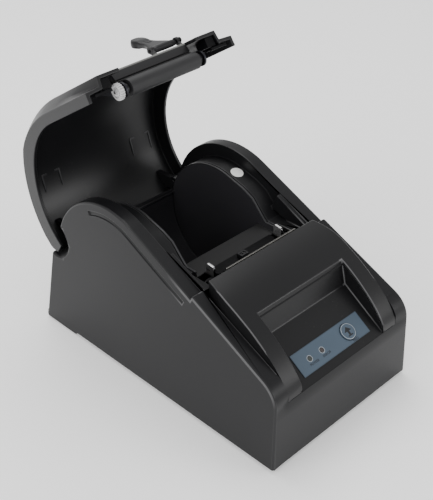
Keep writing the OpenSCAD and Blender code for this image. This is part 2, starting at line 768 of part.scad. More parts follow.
module rear_ports(gap) {
    for (at = [jack_at, drawer_at, usb_at]) socket_box(at, gap);
    on_rear() cube([switch_w + 2 * gap, far, switch_h + 2 * gap], center = true);
}

module power_jack() {
    color([0.07, 0.07, 0.07]) in_place() difference() {
        socket_box(jack_at);
        translate([jack_at[0], socket_y + 4, board_z + board_t + 5.6]) rotate([-90, 0, 0]) difference() {
            cylinder(r = 2.9, h = far);
            translate([0, 0, -1]) cylinder(r = 1, h = 10.5);
        }
    }
}

module usb_port() {
    color([0.7, 0.71, 0.72]) in_place() difference() {
        socket_box(usb_at);
        translate([usb_at[0] - 4.3, socket_y + 4, board_z + board_t + 1.2]) difference() {
            cube([8.6, far, 8.2]);
            translate([1.5, -1, 2.5]) cube([5.6, 8.5, 3.2]);
        }
    }
}

module drawer_port() {
    color([0.12, 0.12, 0.12]) in_place() difference() {
        socket_box(drawer_at);
        translate([drawer_at[0] - 5, socket_y + 3, board_z + board_t + 2]) cube([10, far, 7]);
        translate([drawer_at[0] - 2, socket_y + 3, board_z + board_t + 8.9]) cube([4, far, 2]);
    }
}

// ---- Power switch on the rear face ----

switch_x = board_x - 10;
switch_z = 32;
switch_w = 9;
switch_h = 14;
bezel = 1.2;
rocker_deg = 9;

module on_rear() {
    translate([switch_x, rear_y(switch_z), switch_z]) rotate([rear_lean, 0, 0]) children();
}

module switch_body() {
    color([0.06, 0.06, 0.06]) in_place() on_rear() difference() {
        union() {
            translate([-switch_w / 2 - bezel, seat_gap, -switch_h / 2 - bezel])
                cube([switch_w + 2 * bezel, bezel, switch_h + 2 * bezel]);
            translate([-switch_w / 2, -11, -switch_h / 2]) cube([switch_w, 11.3, switch_h]);
            for (z = [-4, 2.8]) translate([-0.4, -17, z]) cube([0.8, 6.5, 2.4]);
        }
        translate([-switch_w / 2 + 0.9, -7, -switch_h / 2 + 0.7])
            cube([switch_w - 1.8, 20, switch_h - 1.4]);
        rod_x(pin_r + run_gap, -switch_w / 2 + 0.2, switch_w / 2 - 0.2, -1, 0);
    }
}

module power_switch() {
    color([0.09, 0.09, 0.09]) in_place() on_rear() union() {
        span_x(-switch_w / 2 + 1.1, switch_w / 2 - 1.1) translate([-1, 0]) rotate(rocker_deg)
            polygon([[-3.5, -1.5], [3.2, -switch_h / 2 + 1.4], [3.6, -switch_h / 2 + 1.9], [1.7, 0],
                [3.6, switch_h / 2 - 1.9],
                [3.2, switch_h / 2 - 1.4], [-3.5, 1.5]]);
        rod_x(pin_r, -switch_w / 2 + 0.3, switch_w / 2 - 0.3, -1, 0);
    }
}

sticker_margin = 1.8;
sticker_y = hump_y - 12.6;
sticker_t = 0.15;

module inspection_sticker() {
    color([0.95, 0.95, 0.95]) in_place() intersection() {
        translate([(bay_out + rim_x) / 2, sticker_y, hump_z + 20])
            cylinder(r = (rim_x - bay_out) / 2 - sticker_margin, h = 40);
        along_x(case_w) polygon(concat(ledge_line(0), reversed(ledge_line(-sticker_t))));
    }
}

// ---- Lid, drawn closed and then swung open ----

lid_end = 87 + slope;
corner_a = lid_end - 9;
lid_front_hw = 44;
bar_hw = 28.4;

// Radius of the roof, which curls in at the rear end
function roof_r(s) = lid_r - 4.2 * pow(max(0, (s - corner_a) / (lid_end - corner_a)), 2);
// Depth of the crease below the roof and width of the bevel above it
function crease_drop(s) = s < 0 ? 6.4 : mix(6.4, 0.9, pow(min(1, s / 44), 1.6));
function bevel_w(s) = s < 0 ? mix(9, side_x(on_run(lid_r, -lid_run)[1]) - lid_front_hw,
    -s / lid_run) : mix(9, 0.9, pow(min(1, s / 46), 1.3));
// How far the bevel has become a level ledge, 0 to 1
function ledge_k(s) = s > -8 ? 0 : pow(min(1, (-s - 8) / (lid_run - 8)), 1.5);

// Half section of the lid as [x, radius] pairs, set in by d
function lid_half(s, d) = let (k = ledge_k(s), r = roof_r(s), rc = r - crease_drop(s),
    xs = side_x(on_path(rc, s)[1]),
    xr = xs - bevel_w(s), rc_in = min(rc - mix(0.5, 0.93, k) * d, r - d - (d > 1 ? 0.3 : 0)),
    xr_in = min(xr - mix(0.32, 0.8, k) * d, xs - d - (d > 1 ? 0.3 : 0))) [
    [side_x(on_path(lid_in_r, s)[1]) - d, lid_in_r],
    [xs - d, rc_in],
    [mix((xs - d + xr_in) / 2, xr_in + 0.9, k), mix((rc_in + r - d) / 2, rc_in + 0.6, k)],
    [xr_in, r - d],
    [xr_in * 0.5, r - d]];

// Outline of the shell at a station: outside, then back along the inside
function lid_ring(s) = let (a = lid_half(s, 0), b = lid_half(s, lid_wall),
    c = concat(b, [for (p = reversed(b)) [-p[0], p[1]]]))
    [for (p = concat(a, [for (p = reversed(a)) [-p[0], p[1]]], reversed(c))) let (q = on_path(p[1], s))
        [p[0], q[0], q[1]]];

lid_stations = concat([for (i = [0:6]) -lid_run * (1 - i / 6) - (i == 6 ? eps : 0)],
    [for (a = [5:5:corner_a]) a], [for (k = [0.35:0.3:1]) mix(corner_a, lid_end, k)], [lid_end]);
bar_t1 = -lid_run + 13.5;

module lid_shell() {
    color([0.13, 0.13, 0.135]) lid_open() difference() {
        loft([for (s = lid_stations) lid_ring(s)]);
        run_box(-bar_hw - fit_gap, bar_hw + fit_gap, lid_in_r, far, -far, bar_t1 + 0.2);
    }
}

// Block square to the run: x0..x1, radius r0..r1, places t0..t1 along the run
module run_box(x0, x1, r0, r1, t0, t1) {
    span_x(x0, x1) polygon([on_run(r0, t0), on_run(r1, t0), on_run(r1, t1), on_run(r0, t1)]);
}

module exit_bar() {
    color([0.12, 0.12, 0.125]) lid_open() union() {
        span_x(-bar_hw, bar_hw) polygon([on_run(lid_r, bar_t1), on_run(lid_r, bar_t1 - 2.6),
            on_run(lid_r - 7, bar_t1 - 5.4),
            on_run(lid_r - 7, bar_t1 - 2.6), on_run(lid_r - lid_wall - 2.4, bar_t1 - eps)]);
        run_box(-bar_hw, bar_hw, lid_r - lid_wall - 2.4, lid_r - lid_wall - seat_gap, bar_t1 - 0.2,
            bar_t1 + 3);
        // ears of the lever pin
        for (x = [lever_x - lever_w / 2 - 2.4, lever_x + lever_w / 2 + 0.4]) span_x(x, x + 2) difference() {
            union() {
                translate(lever_c) circle(2.6);
                polygon([on_run(lid_r - 1, bar_t1 - 2.4), on_run(lid_r - 1, bar_t1),
                    on_run(lid_r + 0.3, bar_t1), lever_c + [1.8, -1.2], lever_c - [2.2, 0.6]]);
            }
            translate(lever_c) circle(pin_r + run_gap);
        }
    }
}

module hinge_arms() {
    color([0.12, 0.12, 0.125]) lid_open() both_sides() span_x(arm_x[0], arm_x[1]) difference() {
        union() {
            translate([hinge_y, hinge_z]) circle(knuckle_r - 0.4);
            polygon(concat([[hinge_y - 1, hinge_z + knuckle_r - 0.5]],
                [for (a = [94:4:106]) on_turn(roof_r(a) - lid_wall - 0.3, a)],
                [[hinge_y + knuckle_r - 1, hinge_z - 1]]));
        }
        translate([hinge_y, hinge_z]) circle(hinge_pin_r + pin_clear);
    }
}

module hinge_pins() {
    color("silver") in_place() both_sides() union() {
        rod_x(hinge_pin_r, arm_x[0] - 0.6, cheek_x[1] - 0.3, hinge_y, hinge_z);
        rod_x(hinge_pin_r + 1, arm_x[0] - 1.2, arm_x[0] - 0.3, hinge_y, hinge_z);
    }
}

bracket_x = [plate_x[1] + fit_gap, plate_x[1] + fit_gap + 1.4];
bracket_t = [-lid_run + 11, -lid_run + 24];
bracket_r = [seat_r + 3.4, seat_r + 5.6];
lid_screw_at = [[-20, bracket_t[1] - 3], [20, bracket_t[1] - 3]];

module on_roof(p, r) {
    q = on_run(r, p[1]);
    translate([p[0], q[0], q[1]]) rotate([slope, 0, 0]) children();
}

module platen_bracket() {
    color([0.62, 0.63, 0.65]) lid_open() difference() {
        union() {
            both_sides() span_x(bracket_x[0], bracket_x[1]) union() {
                translate([platen_y, platen_z]) circle(bearing_r + 1.6);
                polygon([[platen_y - 3.2, platen_z + 3.3], on_run(bracket_r[1], bracket_t[0]),
                    on_run(bracket_r[1], bracket_t[1]),
                    on_run(bracket_r[0], bracket_t[1]), [platen_y + 4, platen_z - 2.2]]);
            }
            run_box(-bracket_x[0] - eps, bracket_x[0] + eps, bracket_r[0], bracket_r[1], bracket_t[0],
                bracket_t[1]);
            for (p = lid_screw_at) on_roof(p, bracket_r[1] - eps)
                cylinder(r = 3, h = lid_r - lid_wall - 0.2 - bracket_r[1]);
        }
        both_sides() rod_x(bearing_r, bracket_x[0] - 1, bracket_x[1] + 1, platen_y, platen_z);
        for (p = lid_screw_at) on_roof(p, bracket_r[0] - 1)
            cylinder(r = screw_r, h = lid_r - lid_wall - bracket_r[0]);
    }
}

module lid_screws() {
    color("silver") lid_open() for (p = lid_screw_at) on_roof(p, bracket_r[0]) difference() {
        union() {
            translate([0, 0, -1.3]) cylinder(r = screw_r + 1, h = 1.3);
            cylinder(r = screw_r, h = 6);
        }
        translate([-0.4, -2, -1.4]) cube([0.8, 4, 0.7]);
    }
}

module platen_bearings() {
    color([0.16, 0.16, 0.17]) lid_open() both_sides() difference() {
        rod_x(bearing_r, bearing_x[0], bearing_x[1], platen_y, platen_z);
        rod_x(shaft_r + run_gap, 0, 60, platen_y, platen_z);
    }
}

module platen_shaft() {
    color("silver") lid_open() rod_x(shaft_r, -gear_x[1] - 1, bearing_x[1] + 1, platen_y, platen_z);
}

module platen_rubber() {
    color([0.2, 0.2, 0.21]) lid_open() difference() {
        rod_x(platen_r, -platen_w / 2, platen_w / 2, platen_y, platen_z);
        rod_x(shaft_r, -far, far, platen_y, platen_z);
    }
}

module platen_gear() {
    color([0.95, 0.95, 0.93]) lid_open() translate([-gear_x[1], platen_y, platen_z])
        gear(platen_teeth, gear_x[1] - gear_x[0], shaft_r, idler_deg);
}

// ---- Release lever ----

lever_t = 3.6;
lever_c = on_run(lid_r + 2.9, bar_t1 + 1.8);
hub_r = 2.2;

module at_lever() {
    translate([lever_x, lever_c[0], lever_c[1]]) rotate([slope + lever_deg, 0, 0]) children();
}

module release_lever() {
    tip_w = 10.6;
    color([0.11, 0.11, 0.115]) lid_open() at_lever() difference() {
        union() {
            rod_x(hub_r, -lever_w / 2, lever_w / 2, 0, 0);
            translate([0, 0, -hub_r]) linear_extrude(lever_t)
                polygon([[-lever_w / 2, 0], [lever_w / 2, 0], [lever_w / 2 - 1.5, 5],
                [tip_w / 2, lever_len * 0.5], [tip_w / 2, lever_len - tip_w / 2],
                    [-tip_w / 2, lever_len - tip_w / 2],
                [-tip_w / 2, lever_len * 0.5], [-lever_w / 2 + 1.5, 5]]);
            translate([0, lever_len - tip_w / 2, -hub_r - 0.8]) cylinder(r = tip_w / 2, h = lever_t + 1.6);
        }
        rod_x(pin_r + run_gap, -far, far, 0, 0);
        translate([-1.4, lever_len * 0.42, lever_t - hub_r - 0.6]) cube([2.8, 8, 2]);
    }
}

module lever_pin() {
    color("silver") lid_open() rod_x(pin_r, lever_x - lever_w / 2 - 2.6, lever_x + lever_w / 2 + 5,
        lever_c[0], lever_c[1]);
}

module lever_spring() {
    x0 = lever_x + lever_w / 2 + 2.6;
    color("silver") lid_open() translate([x0, lever_c[0], lever_c[1]]) rotate([0, 90, 0])
        coil(pin_r + 0.5, 0.3, 2.2, 3);
}

bottom_plate();
main_housing();
front_cover();
roll_bay();
panel_label();
power_lamp();
error_lamp();
feed_button();
button_board();
tear_bar();
mechanism_frame();
print_head();
head_springs();
head_cable();
feed_motor();
motor_pinion();
idler_gear();
gear_pin();
paper_sensor();
main_board();
power_jack();
usb_port();
drawer_port();
switch_body();
power_switch();
rubber_feet();
base_screws();
frame_screws();
hinge_pins();
inspection_sticker();
lid_shell();
exit_bar();
hinge_arms();
platen_bracket();
platen_bearings();
lid_screws();
lever_pin();
lever_spring();
release_lever();
platen_shaft();
platen_rubber();
platen_gear();
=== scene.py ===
import math
import bpy
import bmesh
from mathutils import Matrix, Vector


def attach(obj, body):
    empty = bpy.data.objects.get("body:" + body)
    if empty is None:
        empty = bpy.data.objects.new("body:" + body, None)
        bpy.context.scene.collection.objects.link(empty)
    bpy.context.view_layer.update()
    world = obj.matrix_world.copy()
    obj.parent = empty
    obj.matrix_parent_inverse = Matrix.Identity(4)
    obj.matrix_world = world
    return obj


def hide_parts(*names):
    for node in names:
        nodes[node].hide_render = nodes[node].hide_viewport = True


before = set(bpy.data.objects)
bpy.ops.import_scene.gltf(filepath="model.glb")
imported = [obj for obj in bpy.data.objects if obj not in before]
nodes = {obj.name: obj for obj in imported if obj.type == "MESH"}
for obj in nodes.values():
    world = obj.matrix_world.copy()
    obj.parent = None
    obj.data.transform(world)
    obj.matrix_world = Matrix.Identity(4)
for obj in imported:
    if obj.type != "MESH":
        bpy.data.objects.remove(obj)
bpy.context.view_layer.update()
print("frame loaded:", len(nodes), "nodes")


def linked(name, data):
    obj = bpy.data.objects.new(name, data)
    bpy.context.scene.collection.objects.link(obj)
    return obj


# place in metres, turns in degrees, lens in millimetres
cameraValues = {
    "place": (-0.3373, -0.361373, 0.40169),
    "turn": 43.576,
    "down": 33.959,
    "roll": -1.603,
    "lens": 70.906,
}


def addCamera(v):
    a, e, r = (math.radians(v[k]) for k in ("turn", "down", "roll"))
    ahead = Vector((math.sin(a) * math.cos(e), math.cos(a) * math.cos(e), -math.sin(e)))
    right = Vector((math.cos(a), -math.sin(a), 0))
    up = right.cross(ahead)
    side = right * math.cos(r) + up * math.sin(r)
    top = up * math.cos(r) - right * math.sin(r)
    data = bpy.data.cameras.new("camera")
    data.lens = v["lens"]
    data.sensor_width = 36
    data.clip_end = 20
    camera = linked("camera", data)
    turn = Matrix((side, top, -ahead)).transposed().to_4x4()
    camera.matrix_world = Matrix.Translation(v["place"]) @ turn
    bpy.context.scene.camera = camera


addCamera(cameraValues)
print("camera placed")

# driving places in millimetres and degrees: y runs back from the front face
printer = {
    "middle": 108.063,
    "humpY": 135.0,
    "humpZ": 61.3,
    "slope": 26.0,
    "hingeY": 184.5,
    "hingeZ": 67.6,
    "lidOpen": 58.0,
    "lidRadius": 63.2,
    "caseWidth": 118.0,
    "sideDraft": 2.6,
    "panelY": 1.2,
    "panelZ": 43.966,
    "panelSlope": 34.8,
    "platenY": 71.5,
    "platenZ": 87.2,
    "leverX": 17.0,
    "leverT": -34.2,
    "leverR": 66.1,
    "leverLean": 22.0,
}


def at(x, y, z):
    return Vector((x, y - printer["middle"], z)) * 0.001


def turned(y, z, degrees):
    a = math.radians(degrees)
    return y * math.cos(a) - z * math.sin(a), y * math.sin(a) + z * math.cos(a)


def lidPoint(x, y, z):
    # a place on the closed lid, once the lid has swung open
    dy, dz = turned(y - printer["hingeY"], z - printer["hingeZ"], -printer["lidOpen"])
    return at(x, printer["hingeY"] + dy, printer["hingeZ"] + dz)


def runPoint(x, t, r, turn=0.0):
    # a place on the lid's straight run: t along it from the hump, r above the slope
    y, z = turned(t, r, printer["slope"] - turn)
    return lidPoint(x, printer["humpY"] + y, printer["humpZ"] + z)


def turnPoint(x, degrees, r):
    # a place round the lid's curved rear
    return runPoint(x, 0, r, degrees)


def leverPoint(x, y, z):
    # a place on the lever: y along it from its pin, z up
    dy, dz = turned(y, z, printer["leverLean"])
    return runPoint(printer["leverX"] + x, printer["leverT"] + dy, printer["leverR"] + dz)


def panelPoint(x, up, out):
    # a place on the label panel: up its slope, and out from it
    y, z = turned(up, out, printer["panelSlope"])
    return at(x, printer["panelY"] + y, printer["panelZ"] + z)


def sideX(z):
    return printer["caseWidth"] / 2 - math.tan(math.radians(printer["sideDraft"])) * z


class Wire:
    # a number in a node tree that takes plain arithmetic
    def __init__(self, owner, socket):
        self.owner = owner
        self.socket = socket

    def __add__(self, other):
        return self.owner.calc("ADD", self, other)

    def __sub__(self, other):
        return self.owner.calc("SUBTRACT", self, other)

    def __mul__(self, other):
        return self.owner.calc("MULTIPLY", self, other)

    def __truediv__(self, other):
        return self.owner.calc("DIVIDE", self, other)

    def __pow__(self, other):
        return self.owner.calc("POWER", self, other)

    def __radd__(self, other):
        return self + other

    def __rsub__(self, other):
        return self.owner.calc("SUBTRACT", other, self)

    def under(self, level):
        return self.owner.calc("LESS_THAN", self, level)

    def over(self, level):
        return self.owner.calc("GREATER_THAN", self, level)

    def most(self, other):
        return self.owner.calc("MAXIMUM", self, other)

    def size(self):
        return self.owner.calc("ABSOLUTE", self)

    def wrapped(self, step):
        return self.owner.calc("FLOORED_MODULO", self, step)


class Builder:
    # what shader and geometry trees share
    def add(self, kind, settings=None, sockets=None):
        node = self.tree.nodes.new(kind)
        for key, value in (settings or {}).items():
            setattr(node, key, value)
        for key, value in (sockets or {}).items():
            self.feed(node.inputs[key], value)
        return node

    def feed(self, socket, value):
        if isinstance(value, Wire):
            value = value.socket
        if isinstance(value, bpy.types.NodeSocket):
            self.tree.links.new(value, socket)
        else:
            socket.default_value = value

    def calc(self, operation, *values):
        node = self.add("ShaderNodeMath", {"operation": operation}, dict(enumerate(values)))
        return Wire(self, node.outputs[0])


class Finish(Builder):
    inputs = {
        "colour": "Base Color", "rough": "Roughness", "metal": "Metallic", "level": "Specular IOR Level",
        "coat": "Coat Weight", "coatRough": "Coat Roughness", "glow": "Emission Color",
        "glowing": "Emission Strength",
    }

    def __init__(self, name):
        self.material = bpy.data.materials.new(name)
        self.material.use_nodes = True
        self.tree = self.material.node_tree
        self.shader = self.tree.nodes["Principled BSDF"]
        self.place = self.add("ShaderNodeTexCoord").outputs["Object"]

    def mapped(self, scale, turn=(0, 0, 0), shift=(0, 0, 0)):
        sockets = {"Vector": self.place, "Scale": scale, "Rotation": turn, "Location": shift}
        return self.add("ShaderNodeMapping", {}, sockets).outputs["Vector"]

    def noise(self, scale, detail=2, rough=0.5, vector=None):
        sockets = {"Vector": vector or self.place, "Scale": scale, "Detail": detail, "Roughness": rough}
        return Wire(self, self.add("ShaderNodeTexNoise", {}, sockets).outputs["Fac"])

    def between(self, low, high, value):
        sockets = {"Value": value, "From Min": low, "From Max": high}
        return Wire(self, self.add("ShaderNodeMapRange", {"clamp": True}, sockets).outputs["Result"])

    def blend(self, fac, a, b):
        return self.add("ShaderNodeMix", {"data_type": "RGBA"}, {0: fac, 6: a, 7: b}).outputs[2]

    def millimetres(self, turn=(0, 0, 0), shift=(0, 0, 0)):
        # the object's own axes, turned and then moved
        vector = self.mapped((1000, 1000, 1000), turn, shift)
        split = self.add("ShaderNodeSeparateXYZ", {}, {"Vector": vector})
        return [Wire(self, out) for out in split.outputs]

    def printerAxes(self):
        # across, back from the front face, and up
        return self.millimetres(shift=(0, printer["middle"], 0))

    def bump(self, height, depth):
        node = self.add("ShaderNodeBump", {}, {"Height": height, "Distance": depth, "Strength": 0.5})
        self.feed(self.shader.inputs["Normal"], node.outputs["Normal"])

    def set(self, **values):
        for key, value in values.items():
            self.feed(self.shader.inputs[self.inputs[key]], value)
        return self.material


def shade(c, k=1.0):
    return (*(x * k for x in c), 1.0)


# tint, grain, bump depth in metres, roughness, shine and dust
plasticValues = {
    "caseBlack": ((0.0085, 0.0085, 0.0094), 2300, 0.00005, 0.36, 0.2, 0.05),
    "lidBlack": ((0.0085, 0.0085, 0.0094), 2300, 0.00005, 0.32, 0.3, 0.05),
    "coverBlack": ((0.0085, 0.0085, 0.0092), 2300, 0.00005, 0.33, 0.24, 0.05),
    "markBlack": ((0.024, 0.024, 0.026), 2300, 0.00002, 0.35, 0.4, 0.05),
    "partBlack": ((0.0075, 0.0075, 0.0086), 2600, 0.00004, 0.36, 0.3, 0.05),
    "nylonWhite": ((0.6, 0.6, 0.6), 1600, 0.00002, 0.36, 0.4, 0.05),
    "nylonDark": ((0.02, 0.02, 0.021), 1600, 0.00002, 0.36, 0.35, 0.05),
    # a black darker and duller than the mouldings: painted shade for parts that sit in cavities
    "cavityBlack": ((0.004, 0.004, 0.0046), 2000, 0.00003, 0.55, 0.1, 0.01),
    "captionInk": ((0.012, 0.014, 0.02), 3000, 0.00001, 0.5, 0.3, 0.0),
}


def mouldedPlastic(name, v):
    # fine mould texture, faint flow streaks and a little dust
    tint, grainSize, depth, roughness, level, dusty = v
    f = Finish(name)
    grain = f.noise(grainSize, 3, 0.6)
    cloud = f.noise(14)
    streak = f.noise(1, 2, 0.5, f.mapped((60, 60, 9)))
    dust = f.between(0.7, 0.78, f.noise(900, 1, 0.4)) * f.between(0.45, 0.65, cloud)
    tone = f.blend(cloud, shade(tint, 0.86), shade(tint, 1.16))
    tone = f.blend(dust * dusty, tone, shade((0.32, 0.31, 0.3)))
    f.bump(grain + streak * 0.2, depth)
    rough = roughness + (grain - 0.5) * 0.16 + (cloud - 0.5) * 0.12 + dust * 0.08
    return f.set(colour=tone, level=level, rough=rough)


def edgePlastic(name, v):
    # rounded edges painted a little lighter than the faces, a painted highlight, and paler still along the
    # rails and the cover but not on the walls behind
    f = Finish(name)
    grain = f.noise(v["grain"], 3, 0.6)
    cloud = f.noise(60)
    x, y, z = f.printerAxes()
    wall = sideX(0) - z * math.tan(math.radians(printer["sideDraft"]))
    corner = f.between(v["line"] + 0.2, v["line"], wall - x.size())
    top = x.size().over(v["rail"]).most(x.over(v["panel"])) * x.size().under(v["inner"])
    outer = top.most(corner)
    # painted highlight: a pale tint on the upper edges of the rails and the cover
    paintedHighlight = f.between(v["low"], v["high"], z) * f.between(v["back"], v["front"], y) * outer
    tone = f.blend(paintedHighlight, shade(v["tint"]), shade(v["pale"]))
    f.bump(grain, v["depth"])
    rough = v["rough"] + (grain - 0.5) * 0.12 + (cloud - 0.5) * 0.1
    return f.set(colour=tone, level=v["level"], rough=rough)


def bayPlastic(name, v):
    # glossy walls for the roll, and painted shade on a matt slope under the paper's way out
    f = Finish(name)
    grain = f.noise(v["grain"], 3, 0.6)
    cloud = f.noise(22)
    x, y = f.printerAxes()[:2]
    slope = x.size().under(v["half"]) * f.between(v["reach"] + 3, v["reach"], y)
    tone = f.blend(cloud, shade(v["tint"], 0.86), shade(v["tint"], 1.16))
    # painted shade: the slope is darkened to the share dim of the tint
    tone = f.blend(slope, tone, shade(v["tint"], v["dim"]))
    f.bump(grain, v["depth"])
    return f.set(colour=tone, level=v["level"], rough=v["rough"] + (grain - 0.5) * 0.1 + slope * 0.4)


def brushedMetal(name, v):
    # lines one way, with a cloudy tone under them
    f = Finish(name)
    lines = f.noise(1, 3, 0.65, f.mapped(v["lines"]))
    cloud = f.noise(120, 3, 0.55)
    tone = f.blend(cloud, shade(v["tint"], 0.8), shade(v["tint"], 1.12))
    f.bump(lines, 0.00001)
    rough = v["rough"] + (lines - 0.5) * 0.22 + (cloud - 0.5) * 0.15
    return f.set(colour=tone, metal=1.0, rough=rough)


def softRubber(name, v):
    f = Finish(name)
    grain = f.noise(3800, 3, 0.7)
    cloud = f.noise(90)
    worn = f.noise(1, 2, 0.5, f.mapped((40, 900, 900)))
    tone = f.blend(cloud, shade(v["tint"], 0.8), shade(v["tint"], 1.25))
    f.bump(grain + worn * 0.6, 0.00004)
    rough = v["rough"] + (cloud - 0.5) * 0.2 + (grain - 0.5) * 0.1
    return f.set(colour=tone, level=v["level"], rough=rough)


def circuitGreen(name, v):
    # solder mask over copper tracks, with dark parts standing on the board
    f = Finish(name)
    x, y, z = f.millimetres()
    bend = f.noise(55, 1, 0.4) * 5
    across = ((x + bend).wrapped(2.6) - 1.3).size().under(0.35)
    along = ((y + bend).wrapped(5.2) - 2.6).size().under(0.3)
    track = across.most(along)
    part = z.over(v["top"])
    tone = f.blend(track, shade(v["mask"]), shade(v["copper"]))
    tone = f.blend(part, tone, shade(v["part"]))
    grain = f.noise(1400)
    f.bump(track * 0.6 + grain * 0.3, 0.00003)
    return f.set(colour=tone, level=0.45, rough=0.32 + part * 0.25 + (grain - 0.5) * 0.15)


def stripedCable(name, v):
    # flat cable: tinned conductors under a cream film
    f = Finish(name)
    x = f.millimetres()[0]
    wire = (x.wrapped(v["pitch"]) - v["pitch"] / 2).size().under(v["pitch"] * 0.27)
    haze = f.noise(260)
    tone = f.blend(wire * 0.7, shade(v["film"]), shade(v["metal"]))
    f.bump(wire * 0.5 + haze * 0.3, 0.00004)
    return f.set(colour=tone, level=0.5, rough=0.3 + (haze - 0.5) * 0.2 - wire * 0.06)


def panelAxes(f):
    # across the label panel and up its slope
    a = math.radians(printer["panelSlope"])
    y, z = printer["panelY"] - printer["middle"], printer["panelZ"]
    shift = (0, -(y * math.cos(a) + z * math.sin(a)), y * math.sin(a) - z * math.cos(a))
    return f.millimetres((-a, 0, 0), shift)[:2]


labelValues = {
    "film": (0.05, 0.075, 0.105),
    "ink": (0.3, 0.33, 0.36),
    "dark": (0.006, 0.007, 0.009),
    "lamps": (-17.8, -7.7),
    "button": 14.4,
    "middle": 12.3,
    "lampRing": (1.6, 1.95),
    "buttonRing": (4.5, 4.8),
    "arrow": (0.1, 2.9),  # foot of the head, and its tip
    "stem": (0.75, -2.5, 0.4),  # half width, foot and top
    "slot": (1.9, -2.9, -2.2),
    "half": 28.0,
    "tall": 14.2,
    "rim": 0.5,
}


def printedFilm(name, v):
    # matt film with a fine weave, ring marks and a feed arrow
    f = Finish(name)
    x, up = panelAxes(f)
    weave = ((x + up).wrapped(0.5) - 0.25).size() * 2.2 + ((x - up).wrapped(0.5) - 0.25).size() * 2.2
    cloud = f.noise(60)
    tone = f.blend(weave * 0.35 + cloud * 0.5, shade(v["film"], 0.84), shade(v["film"], 1.22))
    rings = []
    for middle, ring in [(lamp, v["lampRing"]) for lamp in v["lamps"]] + [(v["button"], v["buttonRing"])]:
        far = ((x - middle) ** 2 + (up - v["middle"]) ** 2) ** 0.5
        rings.append(far.over(ring[0]) * far.under(ring[1]))
    mark = rings[0].most(rings[1]).most(rings[2])
    u, w = x - v["button"], up - v["middle"]
    arrow = w.over(v["arrow"][0]) * (u.size() + w).under(v["arrow"][1])
    for half, foot, top in (v["stem"], v["slot"]):
        arrow = arrow.most(u.size().under(half) * w.over(foot) * w.under(top))
    tone = f.blend(mark, tone, shade(v["ink"]))
    tone = f.blend(arrow, tone, shade(v["dark"]))
    ends = x.size().over(v["half"] - v["rim"])
    rim = ends.most((up - v["middle"]).size().over(v["tall"] / 2 - v["rim"]))
    tone = f.blend(rim * 0.5, tone, shade(v["film"], 0.55))
    f.bump(weave * 0.3 + mark * 0.5, 0.00004)
    return f.set(colour=tone, level=0.4, rough=0.42 + (cloud - 0.5) * 0.15 - mark * 0.08)


def smokedLens(name, v):
    f = Finish(name)
    cell = f.noise(900)
    x, up = panelAxes(f)
    far = ((x - v["middle"]) ** 2 + (up - labelValues["middle"]) ** 2) ** 0.5
    tone = f.blend(f.between(0.3, 1.4, far), shade(v["core"]), shade(v["edge"]))
    f.bump(cell, 0.00003)
    return f.set(colour=tone, level=0.6, rough=0.16 + (cell - 0.5) * 0.1, coat=0.6, coatRough=0.08)


def paperDot(name, v):
    # matt white paper with faint fibres
    f = Finish(name)
    fibre = f.noise(1, 3, 0.7, f.mapped((900, 260, 900)))
    tone = f.blend(fibre, shade(v["tint"], 0.93), shade(v["tint"], 1.0))
    f.bump(fibre, 0.00002)
    return f.set(colour=tone, level=0.3, rough=0.55 + (fibre - 0.5) * 0.2)


def shaftMetal(name, v):
    # turned steel with painted shade for a centre hole in its end, where no hole is cut
    f = Finish(name)
    y, z = f.millimetres()[1:]
    middle = lidPoint(0, printer["platenY"], printer["platenZ"]) * 1000
    far = ((y - middle.y) ** 2 + (z - middle.z) ** 2) ** 0.5
    hole = far.under(v["hole"])
    rings = f.noise(1, 2, 0.5, f.mapped((3000, 60, 60)))
    # painted shade: the end's centre is dark and less metallic
    tone = f.blend(hole, shade(v["tint"]), shade((0.01, 0.01, 0.01)))
    f.bump(rings, 0.00001)
    return f.set(colour=tone, metal=0.9 - hole * 0.8, rough=0.3 + (rings - 0.5) * 0.2 + hole * 0.3)


def latchSteel(name, v):
    # blackened plate, darkened further as painted shade, with a painted highlight on the tops of its bearing
    # latches
    f = Finish(name)
    lines = f.noise(1, 3, 0.65, f.mapped((900, 120, 900)))
    x, y, z = f.printerAxes()
    bright = x.size().over(v["x"]) * y.over(v["y"]) * f.between(v["z"], v["z"] + 2, z)
    # painted highlight on the latch tops over painted shade on the rest
    tone = f.blend(bright, shade(v["dark"]), shade(v["bright"]))
    f.bump(lines, 0.00001)
    return f.set(colour=tone, metal=0.95, rough=0.42 + (lines - 0.5) * 0.2 - bright * 0.12)


def exitBlack(name, v):
    # black moulding with a painted highlight along its upper edge: a pale, smoother band
    f = Finish(name)
    grain = f.noise(2600, 3, 0.6)
    cloud = f.noise(30)
    a = math.radians(printer["slope"] - printer["lidOpen"])
    high = runPoint(0, 0, printer["lidRadius"]) * 1000
    out = f.millimetres((-a, 0, 0))[2] - (high.z * math.cos(a) - high.y * math.sin(a))
    # painted highlight: the band just under the upper edge is pale
    paintedHighlight = f.between(v["from"], v["to"], out) * f.between(v["top"] + 0.3, v["top"], out)
    tone = f.blend(paintedHighlight, shade(v["tint"]), shade(v["edge"]))
    f.bump(grain, 0.00003)
    rough = 0.36 + (grain - 0.5) * 0.16 + (cloud - 0.5) * 0.1 - paintedHighlight * 0.1
    return f.set(colour=tone, level=0.35, rough=rough)


